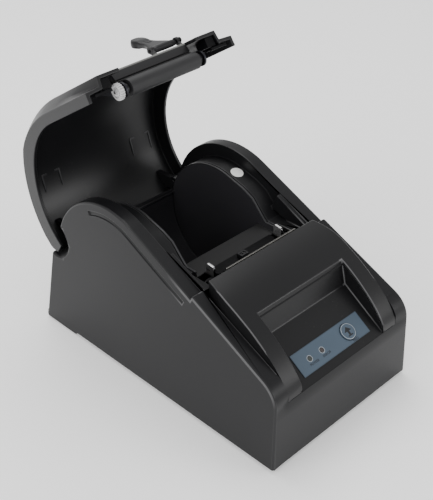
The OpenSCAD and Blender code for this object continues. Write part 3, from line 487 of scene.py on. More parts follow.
# what makes each other finish, and its values: places in millimetres, bump depths in metres
finishValues = {
    # latchSteel: dark is blackened steel deepened as painted shade, and the latches' tint is a painted
    # highlight
    "latchSteel": (latchSteel, {"x": 26.8, "y": 74.0, "z": 79.5, "dark": (0.006, 0.006, 0.0065),
        "bright": (0.6, 0.6, 0.6)}),
    # exitBlack: its edge tint is a painted highlight
    "exitBlack": (exitBlack, {"from": -1.2, "to": -0.9, "top": 0.2, "tint": (0.0075, 0.0075, 0.0084),
        "edge": (0.13, 0.13, 0.125)}),
    # edgeBlack: its tint and its pale tint are painted highlights on rounded edges
    "edgeBlack": (edgePlastic, {"tint": (0.012, 0.012, 0.013), "pale": (0.085, 0.085, 0.087), "grain": 2300,
        "depth": 0.00002, "rough": 0.3, "level": 0.3, "rail": 44.5, "panel": 33.0, "inner": 50.0,
        "line": 0.45, "low": 46.0, "high": 54.0, "back": 84.0, "front": 72.0}),
    "bayBlack": (bayPlastic, {"tint": (0.024, 0.0235, 0.0265), "grain": 2600, "depth": 0.000004,
        "rough": 0.3, "level": 0.5, "half": 31.7, "reach": 99.0, "dim": 0.12}),
    "steel": (brushedMetal, {"tint": (0.62, 0.63, 0.65), "lines": (90, 900, 900), "rough": 0.3}),
    "bladeSteel": (brushedMetal, {"tint": (0.2, 0.195, 0.185), "lines": (2600, 200, 200), "rough": 0.28}),
    "plateSteel": (brushedMetal, {"tint": (0.5, 0.51, 0.53), "lines": (900, 120, 900), "rough": 0.36}),
    # a dark copy of plateSteel: painted shade for the bracket in the slot under the exit bar
    "darkPlate": (brushedMetal, {"tint": (0.035, 0.035, 0.04), "lines": (900, 120, 900), "rough": 0.42}),
    "platenRubber": (softRubber, {"tint": (0.014, 0.014, 0.015), "rough": 0.55, "level": 0.35}),
    "footRubber": (softRubber, {"tint": (0.01, 0.01, 0.01), "rough": 0.72, "level": 0.3}),
    "circuitGreen": (circuitGreen, {"mask": (0.01, 0.085, 0.035), "copper": (0.02, 0.14, 0.055),
        "part": (0.012, 0.012, 0.013), "top": 12.15}),
    "stripedCable": (stripedCable, {"pitch": 1.0, "film": (0.62, 0.58, 0.48), "metal": (0.36, 0.35, 0.33)}),
    "printedFilm": (printedFilm, labelValues),
    "powerLens": (smokedLens, {"middle": labelValues["lamps"][0], "core": (0.014, 0.022, 0.016),
        "edge": (0.006, 0.008, 0.008)}),
    "errorLens": (smokedLens, {"middle": labelValues["lamps"][1], "core": (0.026, 0.013, 0.013),
        "edge": (0.008, 0.006, 0.006)}),
    "paperDot": (paperDot, {"tint": (0.9, 0.9, 0.88)}),
    "shaftMetal": (shaftMetal, {"tint": (0.7, 0.7, 0.7), "hole": 0.8}),
}
finishes = {name: make(name, v) for name, (make, v) in finishValues.items()}
finishes.update({name: mouldedPlastic(name, v) for name, v in plasticValues.items()})
# mouldings whose rounded edges have a finish of their own, painted lighter as a highlight
edgedFinishes = ("caseBlack", "lidBlack", "coverBlack", "bayBlack")
print("finishes ready:", len(finishes))


def newPiece(name, mesh, finish, body, *replaced):
    obj = linked(name, mesh)
    if finish in edgedFinishes:
        # the rounded edges already carry index 1, which clearing would reset
        mesh.materials.append(finishes[finish])
        mesh.materials.append(finishes["edgeBlack"])
    else:
        mesh.materials.clear()
        mesh.materials.append(finishes[finish])
    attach(obj, body)
    if replaced:
        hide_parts(*replaced)


def evaluated(data, modify):
    # the real mesh of data, after the modifiers that modify adds to a passing object
    scratch = linked("scratch", data)
    modify(scratch)
    graph = bpy.context.evaluated_depsgraph_get()
    result = bpy.data.meshes.new_from_object(scratch.evaluated_get(graph), depsgraph=graph)
    bpy.data.objects.remove(scratch)
    return result


def weighNormals(obj):
    weigh = obj.modifiers.new("weigh", "WEIGHTED_NORMAL")
    weigh.keep_sharp = True
    weigh.weight = 80


def smoothed(mesh, angle=32):
    # smooth shading that keeps its sharp edges, and flats that stay flat
    bm = bmesh.new()
    bm.from_mesh(mesh)
    limit = math.radians(angle)
    for f in bm.faces:
        f.smooth = True
    for e in bm.edges:
        e.smooth = len(e.link_faces) == 2 and e.calc_face_angle(0) < limit
    bm.to_mesh(mesh)
    bm.free()
    return evaluated(mesh, weighNormals)


def bevelled(bm, edges, width, segments):
    if edges:
        bmesh.ops.bevel(bm, geom=edges, offset=width, offset_type="OFFSET", segments=segments, profile=0.5,
            affect="EDGES", clamp_overlap=False, loop_slide=True, material=1)


def merged(node):
    # a copy of a CAD node with its doubles merged and its flats joined
    bm = bmesh.new()
    bm.from_mesh(nodes[node].data)
    bmesh.ops.remove_doubles(bm, verts=bm.verts, dist=2e-6)
    bmesh.ops.dissolve_degenerate(bm, dist=1e-6, edges=bm.edges)
    bmesh.ops.dissolve_limit(bm, angle_limit=math.radians(0.5), verts=bm.verts, edges=bm.edges)
    return bm


def sharpEdges(bm, angle=26):
    limit = math.radians(angle)
    return [e for e in bm.edges if len(e.link_faces) == 2 and e.calc_face_angle(0) > limit]


def asMesh(bm, name):
    mesh = bpy.data.meshes.new(name)
    bm.to_mesh(mesh)
    bm.free()
    return mesh


def softened(node, width, segments):
    bm = merged(node)
    bevelled(bm, sharpEdges(bm), width, segments)
    return smoothed(asMesh(bm, node + "Soft"))


# the top of the front face, in millimetres
noseValues = {
    "start": 36.5,  # height where it begins to lean back
    "top": 44.0,
    "lean": 1.2,
    "full": 47.5,  # half width that leans fully
    "part": 51.0,
    "fade": 57.5,  # half width where the lean has ended
    "cuts": 6,
}


def leanNose(bm, v):
    # the top of the front face leans back into the label panel
    front = at(0, 0, 0).y

    def faceParts():
        faces = [f for f in bm.faces if all(c.co.y < front + 0.0002 for c in f.verts)]
        return faces + list({e for f in faces for e in f.edges}) + list({c for f in faces for c in f.verts})

    heights = [v["start"] + (v["top"] - v["start"]) * i / v["cuts"] for i in range(v["cuts"])]
    for z in heights:
        bmesh.ops.bisect_plane(bm, geom=faceParts(), plane_co=(0, 0, z / 1000), plane_no=(0, 0, 1))
    for x in (-v["fade"], -v["part"], -v["full"], v["full"], v["part"], v["fade"]):
        bmesh.ops.bisect_plane(bm, geom=faceParts(), plane_co=(x / 1000, 0, 0), plane_no=(1, 0, 0))
    for c in bm.verts:
        rise = (c.co.z * 1000 - v["start"]) / (v["top"] - v["start"])
        if rise > 0 and c.co.y < front + v["lean"] / 1000:
            side = min(1, max(0, (v["fade"] - abs(c.co.x) * 1000) / (v["fade"] - v["full"])))
            share = min(1, rise) ** 2 * side * side * (3 - 2 * side)
            c.co.y = max(c.co.y, front + share * v["lean"] / 1000)


seamValues = {
    "side": 45.4,  # half width past which the margins close
    "shoulder": 45.99,
    "outer": 47.2,
    "reach": 17.0,
    "low": 43.5,  # the joint over the front face: its heights, half width and depth
    "high": 50.0,
    "half": 46.8,
    "depth": 3.2,
}


def closeSeam(bm, v):
    # at the front the cover's margins run into the shoulders with no gap
    for c in bm.verts:
        if abs(c.co.x) * 1000 > v["side"] and c.co.y * 1000 + printer["middle"] < v["reach"]:
            c.co.x = math.copysign(v["shoulder"] / 1000, c.co.x)


def isSeam(e):
    # the edges where the cover meets the front face and the shoulders stay crisp
    v = seamValues
    places = [(abs(c.co.x) * 1000, c.co.y * 1000 + printer["middle"], c.co.z * 1000) for c in e.verts]
    low = all(v["low"] < z < v["high"] and y < v["depth"] and x < v["half"] for x, y, z in places)
    reach = v["reach"] + 3
    return low or all(v["side"] < x < v["outer"] and y < reach and z > v["low"] for x, y, z in places)


outlineValues = {
    "flat": 0.4,  # sideways share of the top's normal at most, and of the wall's at least
    "wall": 0.95,
    "groove": (41.2, 45.0),
    "grooveFrom": 30.0,
    "near": 0.06,
    "foot": 4.0,
}


def isOutline(e):
    # the long outer edges of the case, where a side wall turns into the top or the front
    v = outlineValues
    normals = sorted(abs(f.normal.x) for f in e.link_faces)
    if normals[0] > v["flat"] or normals[1] < v["wall"] or not e.is_convex:
        return False
    middle = (e.verts[0].co + e.verts[1].co) * 500
    back = middle.y + printer["middle"]
    y, z = turned(back - printer["humpY"], middle.z - printer["humpZ"], -printer["slope"])
    radius = z if y < 0 else math.hypot(y, z)
    inGroove = v["groove"][0] < radius < v["groove"][1] and back > v["grooveFrom"]
    outside = all(abs(abs(c.co.x) * 1000 - sideX(c.co.z * 1000)) < v["near"] for c in e.verts)
    return outside and not inGroove and middle.z > v["foot"]


# edge widths in metres, and the fold in degrees that makes an edge of the housing
caseValues = {"outline": 0.0014, "edges": 0.0006, "fold": 34, "body": "case"}


def addCase(v):
    bm = merged("main_housing")
    leanNose(bm, noseValues)
    bevelled(bm, [e for e in sharpEdges(bm) if isOutline(e)], v["outline"], 4)
    bevelled(bm, [e for e in sharpEdges(bm, v["fold"]) if not isSeam(e)], v["edges"], 2)
    newPiece("housing", smoothed(asMesh(bm, "housing")), "caseBlack", v["body"], "main_housing")

    bm = merged("front_cover")
    leanNose(bm, noseValues)
    closeSeam(bm, seamValues)
    bevelled(bm, [e for e in sharpEdges(bm) if not isSeam(e)], v["edges"], 3)
    newPiece("coverPanel", smoothed(asMesh(bm, "coverPanel")), "coverBlack", v["body"], "front_cover")


addCase(caseValues)

# each moulding's piece, finish, body, edge width in metres and steps round an edge
softEdges = {
    "roll_bay": ("rollBay", "bayBlack", "case", 0.0005, 3),
    "lid_shell": ("lidShell", "lidBlack", "lid", 0.0005, 3),
    "hinge_arms": ("hingeArms", "partBlack", "lid", 0.0004, 2),
    "bottom_plate": ("basePlate", "caseBlack", "case", 0.0003, 2),
    "rubber_feet": ("feet", "footRubber", "case", 0.0005, 3),
    "feed_button": ("feedButton", "printedFilm", "button", 0.0004, 3),
    "power_lamp": ("powerLamp", "powerLens", "case", 0.0003, 3),
    "error_lamp": ("errorLamp", "errorLens", "case", 0.0003, 3),
    "power_switch": ("switchRocker", "partBlack", "rocker", 0.0003, 2),
    "switch_body": ("switchBezel", "partBlack", "case", 0.0003, 2),
    "drawer_port": ("drawerSocket", "partBlack", "case", 0.0002, 2),
    "power_jack": ("powerSocket", "partBlack", "case", 0.0002, 2),
    "usb_port": ("dataSocket", "plateSteel", "case", 0.0002, 2),
    "platen_rubber": ("platenRoller", "platenRubber", "platen", 0.0004, 2),
    "platen_bearings": ("platenBearings", "partBlack", "lid", 0.0003, 2),
    "hinge_pins": ("hingePins", "partBlack", "case", 0.0002, 2),
    # the platen bracket is painted in shade
    "platen_bracket": ("platenBracket", "darkPlate", "lid", 0.0002, 2),
    "mechanism_frame": ("mechanismFrame", "latchSteel", "case", 0.0002, 2),
    "feed_motor": ("feedMotor", "plateSteel", "case", 0.0003, 2),
    "paper_sensor": ("paperSensor", "partBlack", "case", 0.0002, 2),
}
for node, (name, finish, body, width, segments) in softEdges.items():
    newPiece(name, softened(node, width, segments), finish, body, node)
print("mouldings done")

# the finishes of the nodes that stay as they are
nodeFinishes = {
    "panel_label": "printedFilm", "print_head": "plateSteel", "gear_pin": "steel",
    "platen_shaft": "shaftMetal", "button_board": "circuitGreen", "main_board": "circuitGreen",
    # the lever pin is painted in cavity shade
    "head_cable": "stripedCable", "inspection_sticker": "paperDot", "lever_pin": "cavityBlack",
}


class Growth(Builder):
    # a geometry tree with named inputs, ending in real faces of one finish
    def __init__(self, name, inputs):
        self.tree = bpy.data.node_groups.new(name, "GeometryNodeTree")
        self.tree.interface.new_socket("Mesh", in_out="OUTPUT", socket_type="NodeSocketGeometry")
        self.sockets = {}
        for label, kind in {"Carrier": "Geometry", **inputs, "Finish": "Material"}.items():
            kind = "NodeSocket" + kind
            self.sockets[label] = self.tree.interface.new_socket(label, in_out="INPUT", socket_type=kind)
        outputs = self.tree.nodes.new("NodeGroupInput").outputs
        self.given = {label: Wire(self, outputs[label]) for label in self.sockets}

    def made(self, kind, sockets=None):
        # a new geometry node's first output
        return Wire(self, self.add("GeometryNode" + kind, {}, sockets).outputs[0])

    def moved(self, geometry, **values):
        sockets = {key.title(): value for key, value in values.items()}
        return self.made("Transform", {"Geometry": geometry, **sockets})

    def vector(self, x, y, z):
        return self.add("ShaderNodeCombineXYZ", {}, {0: x, 1: y, 2: z}).outputs[0]

    def join(self, *parts):
        node = self.add("GeometryNodeJoinGeometry")
        for part in parts:
            self.feed(node.inputs[0], part)
        return node.outputs[0]

    def end(self, geometry):
        real = self.made("RealizeInstances", {0: geometry})
        done = self.made("SetMaterial", {"Geometry": real, "Material": self.given["Finish"]})
        self.feed(self.tree.nodes.new("NodeGroupOutput").inputs[0], done)

    def grown(self, carrier, values, finish):
        def modify(obj):
            mod = obj.modifiers.new("grow", "NODES")
            mod.node_group = self.tree
            for label, value in {**values, "Finish": finishes[finish]}.items():
                mod[self.sockets[label].identifier] = value
        return evaluated(carrier, modify)


def pointMesh(places):
    mesh = bpy.data.meshes.new("places")
    mesh.from_pydata([tuple(p) for p in places], [], [])
    return mesh


# shares of the head's radius, and of its height
crossShape = {"top": 0.7, "long": 1.15, "narrow": 0.24, "deep": 1.2}


def crossScrewTree(v):
    # a tapered head with a cross cut in it, and its shank
    g = Growth("crossScrews", {"Turn": "Vector", "Head Radius": "Float", "Head Height": "Float",
        "Shank Radius": "Float", "Shank Length": "Float"})
    radius, height, length = (g.given[key] for key in ("Head Radius", "Head Height", "Shank Length"))
    long, narrow, deep = radius * v["long"], radius * v["narrow"], height * v["deep"]
    head = g.made("MeshCone", {"Vertices": 28, "Radius Top": radius * v["top"], "Radius Bottom": radius,
        "Depth": height})
    cut = g.add("GeometryNodeMeshBoolean", {"operation": "DIFFERENCE"}, {"Mesh 1": head})
    for size in ((long, narrow, deep), (narrow, long, deep)):
        slot = g.made("MeshCube", {"Size": g.vector(*size)})
        g.feed(cut.inputs["Mesh 2"], g.moved(slot, translation=g.vector(0, 0, height)))
    shank = g.made("MeshCylinder", {"Vertices": 20, "Radius": g.given["Shank Radius"], "Depth": length})
    screw = g.join(cut.outputs["Mesh"], g.moved(shank, translation=g.vector(0, 0, length * -0.5)))
    g.end(g.made("InstanceOnPoints", {"Points": g.given["Carrier"], "Instance": screw,
        "Rotation": g.given["Turn"]}))
    return g


screwTree = crossScrewTree(crossShape)
# the screw bosses stand one millimetre into the side walls
boss = {"wall": 2.4, "radius": 4.0, "sunk": 1.0, "height": 6.5}
bossX = sideX(boss["height"]) - boss["wall"] - boss["radius"] + boss["sunk"]
# heads and shanks: radius and length in metres, the heads taller than the solids'
screwValues = {
    "base_screws": {"name": "baseScrews", "body": "case", "turn": (math.pi, 0, 0),
        "head": (0.0029, 0.0024), "shank": (0.0015, 0.0135),
        "places": [at(s * bossX, y, 2.4) for y in (16, 164) for s in (-1, 1)]},
    "frame_screws": {"name": "frameScrews", "body": "case", "turn": (0, 0, 0),
        "head": (0.0025, 0.0028), "shank": (0.0015, 0.0033),
        "places": [at(s * 31.8, y, 47.4) for y in (58.5, 77.5) for s in (-1, 1)]},
    "lid_screws": {"name": "lidScrews", "body": "lid",
        "turn": (math.radians(printer["slope"] - printer["lidOpen"] + 180), 0, 0),
        "head": (0.0025, 0.0026), "shank": (0.0015, 0.006),
        "places": [runPoint(s * 20, -28.5, 53.4) for s in (-1, 1)]},
}
for node, v in screwValues.items():
    values = {"Turn": v["turn"], "Head Radius": v["head"][0], "Head Height": v["head"][1],
        "Shank Radius": v["shank"][0], "Shank Length": v["shank"][1]}
    mesh = screwTree.grown(pointMesh(v["places"]), values, "steel")
    newPiece(v["name"], smoothed(mesh), "steel", v["body"], node)
print("screws done")


def springTree():
    g = Growth("coilSprings", {"Turn": "Vector", "Radius": "Float", "Wire": "Float", "Height": "Float",
        "Turns": "Float"})
    v = g.given
    coil = g.made("CurveSpiral", {"Resolution": 24, "Rotations": v["Turns"], "Height": v["Height"],
        "Start Radius": v["Radius"], "End Radius": v["Radius"]})
    wire = g.made("CurvePrimitiveCircle", {"Resolution": 8, "Radius": v["Wire"]})
    tube = g.made("CurveToMesh", {"Curve": coil, "Profile Curve": wire, "Fill Caps": True})
    g.end(g.made("InstanceOnPoints", {"Points": v["Carrier"], "Instance": tube, "Rotation": v["Turn"]}))
    return g


# how the print head leans in degrees, and how far its own axes start from the platen's axis
headValues = {"slope": -45.0, "reach": 5.15}


def headPoint(x, along, out):
    # a place in the print head's own axes: down along it, and out towards the platen
    y, z = turned(along, out - headValues["reach"], headValues["slope"])
    return at(x, printer["platenY"] + y, printer["platenZ"] + z)


coilTree = springTree()
# sizes in metres
springValues = {
    "head_springs": {"name": "headSprings", "body": "case", "turn": (math.radians(headValues["slope"]), 0, 0),
        "radius": 0.002, "wire": 0.00033, "height": 0.0048, "turns": 5.5, "finish": "steel",
        "places": [headPoint(x, 4, -8.65) for x in (-15, 15)]},
    # the lever spring is painted in cavity shade
    "lever_spring": {"name": "leverSpring", "body": "lid", "turn": (0, math.pi / 2, 0), "radius": 0.0015,
        "wire": 0.0003, "height": 0.0016, "turns": 3.0, "finish": "cavityBlack",
        "places": [leverPoint(11.4, 0, 0)]},
}
for node, v in springValues.items():
    values = {key.title(): v[key] for key in ("turn", "radius", "wire", "height", "turns")}
    mesh = coilTree.grown(pointMesh(v["places"]), values, v["finish"])
    newPiece(v["name"], smoothed(mesh, 50), v["finish"], v["body"], node)
print("springs done")


def toothTree():
    # teeth round a wheel that the carrier brings, then the whole put in its place
    g = Growth("wheelTeeth", {"Place": "Vector", "Teeth": "Int", "Root Radius": "Float",
        "Tip Radius": "Float", "Foot": "Float", "Tip": "Float", "Width": "Float", "Phase": "Float"})
    v = g.given
    sunk, corner = 0.0002, math.sqrt(2)
    tooth = g.made("MeshCone", {"Vertices": 4, "Radius Top": v["Tip"] * corner,
        "Radius Bottom": v["Foot"] * corner, "Depth": v["Tip Radius"] - v["Root Radius"] + sunk})
    square = g.moved(tooth, rotation=(0, 0, math.pi / 4))
    wide = g.moved(square, scale=g.vector(v["Width"] / (v["Foot"] + v["Tip"]), 1, 1))
    lying = g.moved(wide, rotation=(0, math.pi / 2, 0), translation=(-sunk, 0, 0))
    ring = g.made("MeshCircle", {"Vertices": v["Teeth"], "Radius": v["Root Radius"]})
    angle = g.made("InputIndex") * g.calc("DIVIDE", 2 * math.pi, v["Teeth"])
    teeth = g.made("InstanceOnPoints", {"Points": ring, "Instance": lying,
        "Rotation": g.vector(0, 0, angle)})
    both = g.join(v["Carrier"], g.moved(teeth, rotation=g.vector(0, 0, v["Phase"])))
    g.end(g.moved(both, rotation=(math.pi / 2, 0, math.pi / 2), translation=v["Place"]))
    return g


def skin(bm, rings, closed=False):
    # faces from each ring of points to the next, with an end at each side unless the rings close
    for a, b in zip(rings, rings[1:] + rings[:1] if closed else rings[1:]):
        for i in range(len(a)):
            j = (i + 1) % len(a)
            bm.faces.new((a[i], b[i], b[j], a[j]))
    if not closed:
        bm.faces.new(rings[0])
        bm.faces.new(list(reversed(rings[-1])))


def wheelMesh(root, width, bore, hub):
    # a turned blank: rim, thinner web and hub round the bore
    half, web, rim, step, count = width / 2, width * 0.3, root - 0.7, 0.1, 48
    lower = [(bore, -half), (hub, -half), (hub + step, -web), (rim - step, -web), (rim, -half), (root, -half)]
    section = lower + [(r, -h) for r, h in reversed(lower)]
    bm = bmesh.new()
    rings = []
    for i in range(count):
        a = 2 * math.pi * i / count
        rings.append([bm.verts.new(Vector((r * math.cos(a), r * math.sin(a), h)) / 1000) for r, h in section])
    skin(bm, rings, True)
    bmesh.ops.recalc_face_normals(bm, faces=bm.faces)
    return asMesh(bm, "blank")


# root and tip are shares of the module; the idler's distance and direction are from the platen
trainValues = {"module": 0.45, "root": 1.15, "tip": 0.9, "slack": 1.4, "spread": 7.5, "point": 6.5,
    "width": 3.0, "tooth": 2.9, "rollerHalf": 26.0, "face": (5.2, 8.2), "idler": (10.8, -100.0)}
gearX = -trainValues["rollerHalf"] - sum(trainValues["face"]) / 2
idlerY, idlerZ = turned(trainValues["idler"][0], 0, trainValues["idler"][1])
gearValues = {
    "platen_gear": {"name": "platenGear", "body": "platen", "teeth": 20, "bore": 1.5, "hub": 2.4,
        "phase": trainValues["idler"][1] - printer["lidOpen"], "finish": "nylonWhite",
        "place": lidPoint(gearX, printer["platenY"], printer["platenZ"])},
    "idler_gear": {"name": "idlerGear", "body": "idler", "teeth": 28, "bore": 1.05, "hub": 2.2,
        "phase": 86.43, "finish": "nylonDark",
        "place": at(gearX, printer["platenY"] + idlerY, printer["platenZ"] + idlerZ)},
}


def addGear(tree, node, v, train):
    pitch = train["module"] * v["teeth"] / 2
    root, tip = pitch - train["root"] * train["module"], pitch + train["tip"] * train["module"]
    half = 90 / v["teeth"] - train["slack"] / pitch
    foot = math.radians(half + train["spread"] / pitch) * root
    point = math.radians(half - train["point"] / pitch) * tip
    values = {"Place": v["place"], "Teeth": v["teeth"], "Root Radius": root / 1000, "Tip Radius": tip / 1000,
        "Foot": foot / 1000, "Tip": point / 1000, "Width": train["tooth"] / 1000,
        "Phase": math.radians(v["phase"])}
    mesh = tree.grown(wheelMesh(root, train["width"], v["bore"], v["hub"]), values, v["finish"])
    newPiece(v["name"], smoothed(mesh, 24), v["finish"], v["body"], node)


gearTree = toothTree()
for node, v in gearValues.items():
    addGear(gearTree, node, v, trainValues)
print("gears done")


def bladeTree():
    # triangular teeth along the top of a blade that the carrier brings
    g = Growth("bladeTeeth", {"Start": "Vector", "Pitch": "Float", "Count": "Int", "Thickness": "Float",
        "Tooth": "Float"})
    v = g.given
    row = g.made("MeshLine", {"Count": v["Count"], "Start Location": v["Start"],
        "Offset": g.vector(v["Pitch"], 0, 0)})
    tooth = g.made("MeshCylinder", {"Vertices": 3, "Radius": v["Tooth"], "Depth": v["Thickness"]})
    lying = g.moved(tooth, rotation=(math.pi / 2, math.pi / 2 * 3, 0))
    g.end(g.join(v["Carrier"], g.made("InstanceOnPoints", {"Points": row, "Instance": lying})))
    return g


def boxMesh(bm, low, high, place=at):
    corners = [bm.verts.new(place(*[(low, high)[(i >> k) & 1][k] for k in range(3)])) for i in range(8)]
    for face in ((0, 2, 3, 1), (4, 5, 7, 6), (0, 1, 5, 4), (2, 6, 7, 3), (0, 4, 6, 2), (1, 3, 7, 5)):
        bm.faces.new([corners[i] for i in face])


def boxes(name, rows, width, place=at):
    bm = bmesh.new()
    for low, high in rows:
        boxMesh(bm, low, high, place)
    bmesh.ops.recalc_face_normals(bm, faces=bm.faces)
    bevelled(bm, list(bm.edges), width, 2)
    return smoothed(asMesh(bm, name))


# millimetres, apart from the edge width in metres
bladeValues = {
    "half": 28.3,
    "low": 86.2,
    "top": 90.75,
    "y": (63.65, 64.45),
    "first": 0.65,  # from the blade's end to its first tooth
    "lift": 0.05,
    "pitch": 1.0,
    "count": 56,
    "tooth": 0.4,
    "thickness": 0.78,
    "edges": 0.00008,
}


def addBlade(v):
    box = ((-v["half"], v["y"][0], v["low"]), (v["half"], v["y"][1], v["top"]))
    values = {"Start": at(v["first"] - v["half"], sum(v["y"]) / 2, v["top"] + v["lift"]),
        "Pitch": v["pitch"] / 1000, "Count": v["count"], "Thickness": v["thickness"] / 1000,
        "Tooth": v["tooth"] / 1000}
    mesh = bladeTree().grown(boxes("blade", [box], v["edges"]), values, "bladeSteel")
    newPiece("tearBlade", smoothed(mesh, 20), "bladeSteel", "case", "tear_bar")


addBlade(bladeValues)
print("blade done")


def prism(bm, profile, x0, x1, place):
    skin(bm, [[bm.verts.new(place(x, *p)) for p in profile] for x in (x0, x1)])


def arcPoints(y, z, radius, start, end, count):
    angles = [math.radians(start + (end - start) * i / count) for i in range(count + 1)]
    return [(y + radius * math.cos(a), z + radius * math.sin(a)) for a in angles]


# pairs are millimetres along the lid and out from its face, from the bar's upper edge
barValues = {
    "half": 28.4,
    "t": -36.0,
    "edge": 1.3,
    "depth": 2.6,
    "front": ((-4.9, -5.4), (-4.9, -5.7), (-4.1, -5.9), (-4.1, -6.3), (-5.1, -6.5), (-5.1, -7.0)),
    "foot": ((-2.6, -7.0), (0.0, -4.6)),
    "ledge": (-0.2, 3.0, -4.6, -2.35),  # from and to along the lid, and below its face
    "ears": (6.1, 25.9),
    "earWidth": 2.0,
    "earRadius": 2.4,
    "earMiddle": (1.8, 2.9),
    "earFoot": ((-2.4, -0.6), (-0.1, -0.6)),
    "rounding": (0.0001, 0.0012),  # edge width, and the shortest edge that has it, in metres
}


def addExitBar(v):
    bm = bmesh.new()
    r, t, c = printer["lidRadius"], v["t"], v["edge"]
    rounded = arcPoints(t - v["depth"] + c * 0.6, r - c, c, 90, 150, 5)
    profile = [(t, r), *rounded, *((t + a, r + b) for a, b in v["front"] + v["foot"])]
    prism(bm, profile, -v["half"], v["half"], runPoint)
    t0, t1, r0, r1 = v["ledge"]
    boxMesh(bm, (-v["half"], t + t0, r + r0), (v["half"], t + t1, r + r1), runPoint)
    for x in v["ears"]:
        ear = arcPoints(t + v["earMiddle"][0], r + v["earMiddle"][1], v["earRadius"], -20, 200, 12)
        ear += [(t + a, r + b) for a, b in v["earFoot"]]
        prism(bm, ear, x, x + v["earWidth"], runPoint)
    bmesh.ops.recalc_face_normals(bm, faces=bm.faces)
    width, shortest = v["rounding"]
    bevelled(bm, [e for e in sharpEdges(bm, 40) if e.calc_length() > shortest], width, 1)
    newPiece("exitBar", smoothed(asMesh(bm, "exitBar"), 30), "exitBlack", "lid", "exit_bar")


addExitBar(barValues)

# millimetres along the lever from its pin, half widths across it, and heights from its pin
leverValues = {
    "heel": -2.1,
    "root": 8.4,
    "waist": 4.5,
    "narrowing": (2.0, 12.0),  # where the root begins to narrow, and over what length
    "knob": 5.2,
    "knobAt": 22.7,
    "swelling": (16.5, 2.5),  # where the lever begins to thicken, and over what length
    "under": (2.1, 0.8),  # depth below the pin, and what the knob adds
    "over": (1.35, 0.75),
    "boss": (1.2, 2.2),  # the raised heel: where it ends, and its half length
    "bend": (0.32, 0.6),  # powers that square the section across and up
    "stations": (-1.8, -1, 0, 1.5, *range(3, 17, 2), 16.5, 17.6, 18.4, 19.4, 21, 22.7, 24.4, 25.8, 26.9,
        27.5),
    "tip": (1.6, 0.35),  # how an end thins: the length of its slope, and the share left
    "tail": (1.1, 0.45),
    "slot": (1.3, 11.8, 18.5),  # half width, from and to
    "line": (0.4, 0.5),  # the slot frame's widths across and along
    "slotAt": (1.2, 1.5),
    "around": 20,
    "finish": "partBlack",
}


def smoothStep(k):
    k = min(1, max(0, k))
    return k * k * (3 - 2 * k)


def squared(k, power):
    return math.copysign(abs(k) ** power, k)


def leverWidth(y, v):
    # a broad root, a waist, then the round knob
    start, length = v["narrowing"]
    arm = v["root"] + (v["waist"] - v["root"]) * smoothStep((y - start) / length) ** 0.8
    reach = v["knob"] ** 2 - (y - v["knobAt"]) ** 2
    return max(arm if y < v["knobAt"] else 0, math.sqrt(max(reach, 0.01)))


def leverHeights(y, end, v):
    # the under and upper faces, drawn in at both ends
    k = min(1, max(0, (y - v["swelling"][0]) / v["swelling"][1]))
    (tip, tipLeft), (tail, tailLeft) = v["tip"], v["tail"]
    fade = min(1, (end - y) / tip + tipLeft) * min(1, (y - v["heel"]) / tail + tailLeft)
    low, high = v["under"][0] + v["under"][1] * k, v["over"][0] + v["over"][1] * k
    if y < v["boss"][0]:
        high = v["over"][0] + v["over"][1] * math.cos(min(1, abs(y) / v["boss"][1]) * math.pi / 2)
    return -low * fade, high * fade


def slotFrame(v):
    # a shallow thumb slot's frame on the upper face
    half, start, end = v["slot"]
    across, along = v["line"]
    inner = start + along, end - along
    sides = ((-half, half, start, inner[0]), (-half, half, inner[1], end), (-half, across - half, *inner),
        (half - across, half, *inner))
    return [((x0, y0, v["slotAt"][0]), (x1, y1, v["slotAt"][1])) for x0, x1, y0, y1 in sides]


def addLever(v):
    bm = bmesh.new()
    rings = []
    end = v["knobAt"] + v["knob"]
    count = v["around"]
    for y in (v["heel"], *v["stations"], end - 0.08):
        low, high = leverHeights(y, end, v)
        half, middle, tall = leverWidth(y, v), (low + high) / 2, (high - low) / 2
        ring = []
        for i in range(count):
            a = 2 * math.pi * i / count
            x, z = squared(math.cos(a), v["bend"][0]), squared(math.sin(a), v["bend"][1])
            ring.append(bm.verts.new(leverPoint(half * x, y, middle + tall * z)))
        rings.append(ring)
    skin(bm, rings)
    for corner, opposite in slotFrame(v):
        boxMesh(bm, corner, opposite, leverPoint)
    bmesh.ops.recalc_face_normals(bm, faces=bm.faces)
    newPiece("lever", smoothed(asMesh(bm, "lever"), 40), v["finish"], "lever", "release_lever")


addLever(leverValues)

# each box: from and to across, along the lid's run, and above its slope
latchValues = {
    "block": ((36.2, 42.5), (-47.8, -40.5), (55.0, 60.9)),
    "bar": ((37.5, 49.5), (-48.9, -47.0), (52.6, 54.2)),
    "step": ((41.0, 45.0), (-46.5, -38.0), (53.2, 58.0)),
    "rib": ((44.0, 44.8), (-48.4, -28.0), (54.0, 60.6)),
}


def latchRows(v):
    rows = []
    for s in (-1, 1):
        for x, t, r in v.values():
            a, b = sorted((s * x[0], s * x[1]))
            rows.append(((a, t[0], r[0]), (b, t[1], r[1])))
    return rows


# the latches in the lid's front wings are painted in cavity shade
newPiece("lidLatches", boxes("lidLatches", latchRows(latchValues), 0.00025, runPoint), "cavityBlack", "lid")

# raised open frames inside the lid: across in millimetres, and round the rear curve in degrees
markValues = {
    "frames": ((28.5, 45.5, 67.5, 79.0), (-43.5, -29.5, 66.0, 77.0)),
    "radius": (60.6, 61.1),
    "line": 1.0,
    "stub": 4.0,
}


def markRows(v):
    rows = []
    (r0, r1), line, stub = v["radius"], v["line"], v["stub"]
    for x0, x1, a0, a1 in v["frames"]:
        a2 = a0 + line
        sides = (x0, x0 + line, a1), (x1 - line, x1, a1), (x0, x0 + stub, a2), (x1 - stub, x1, a2)
        rows += [((left, a0, r0), (right, top, r1)) for left, right, top in sides]
    return rows


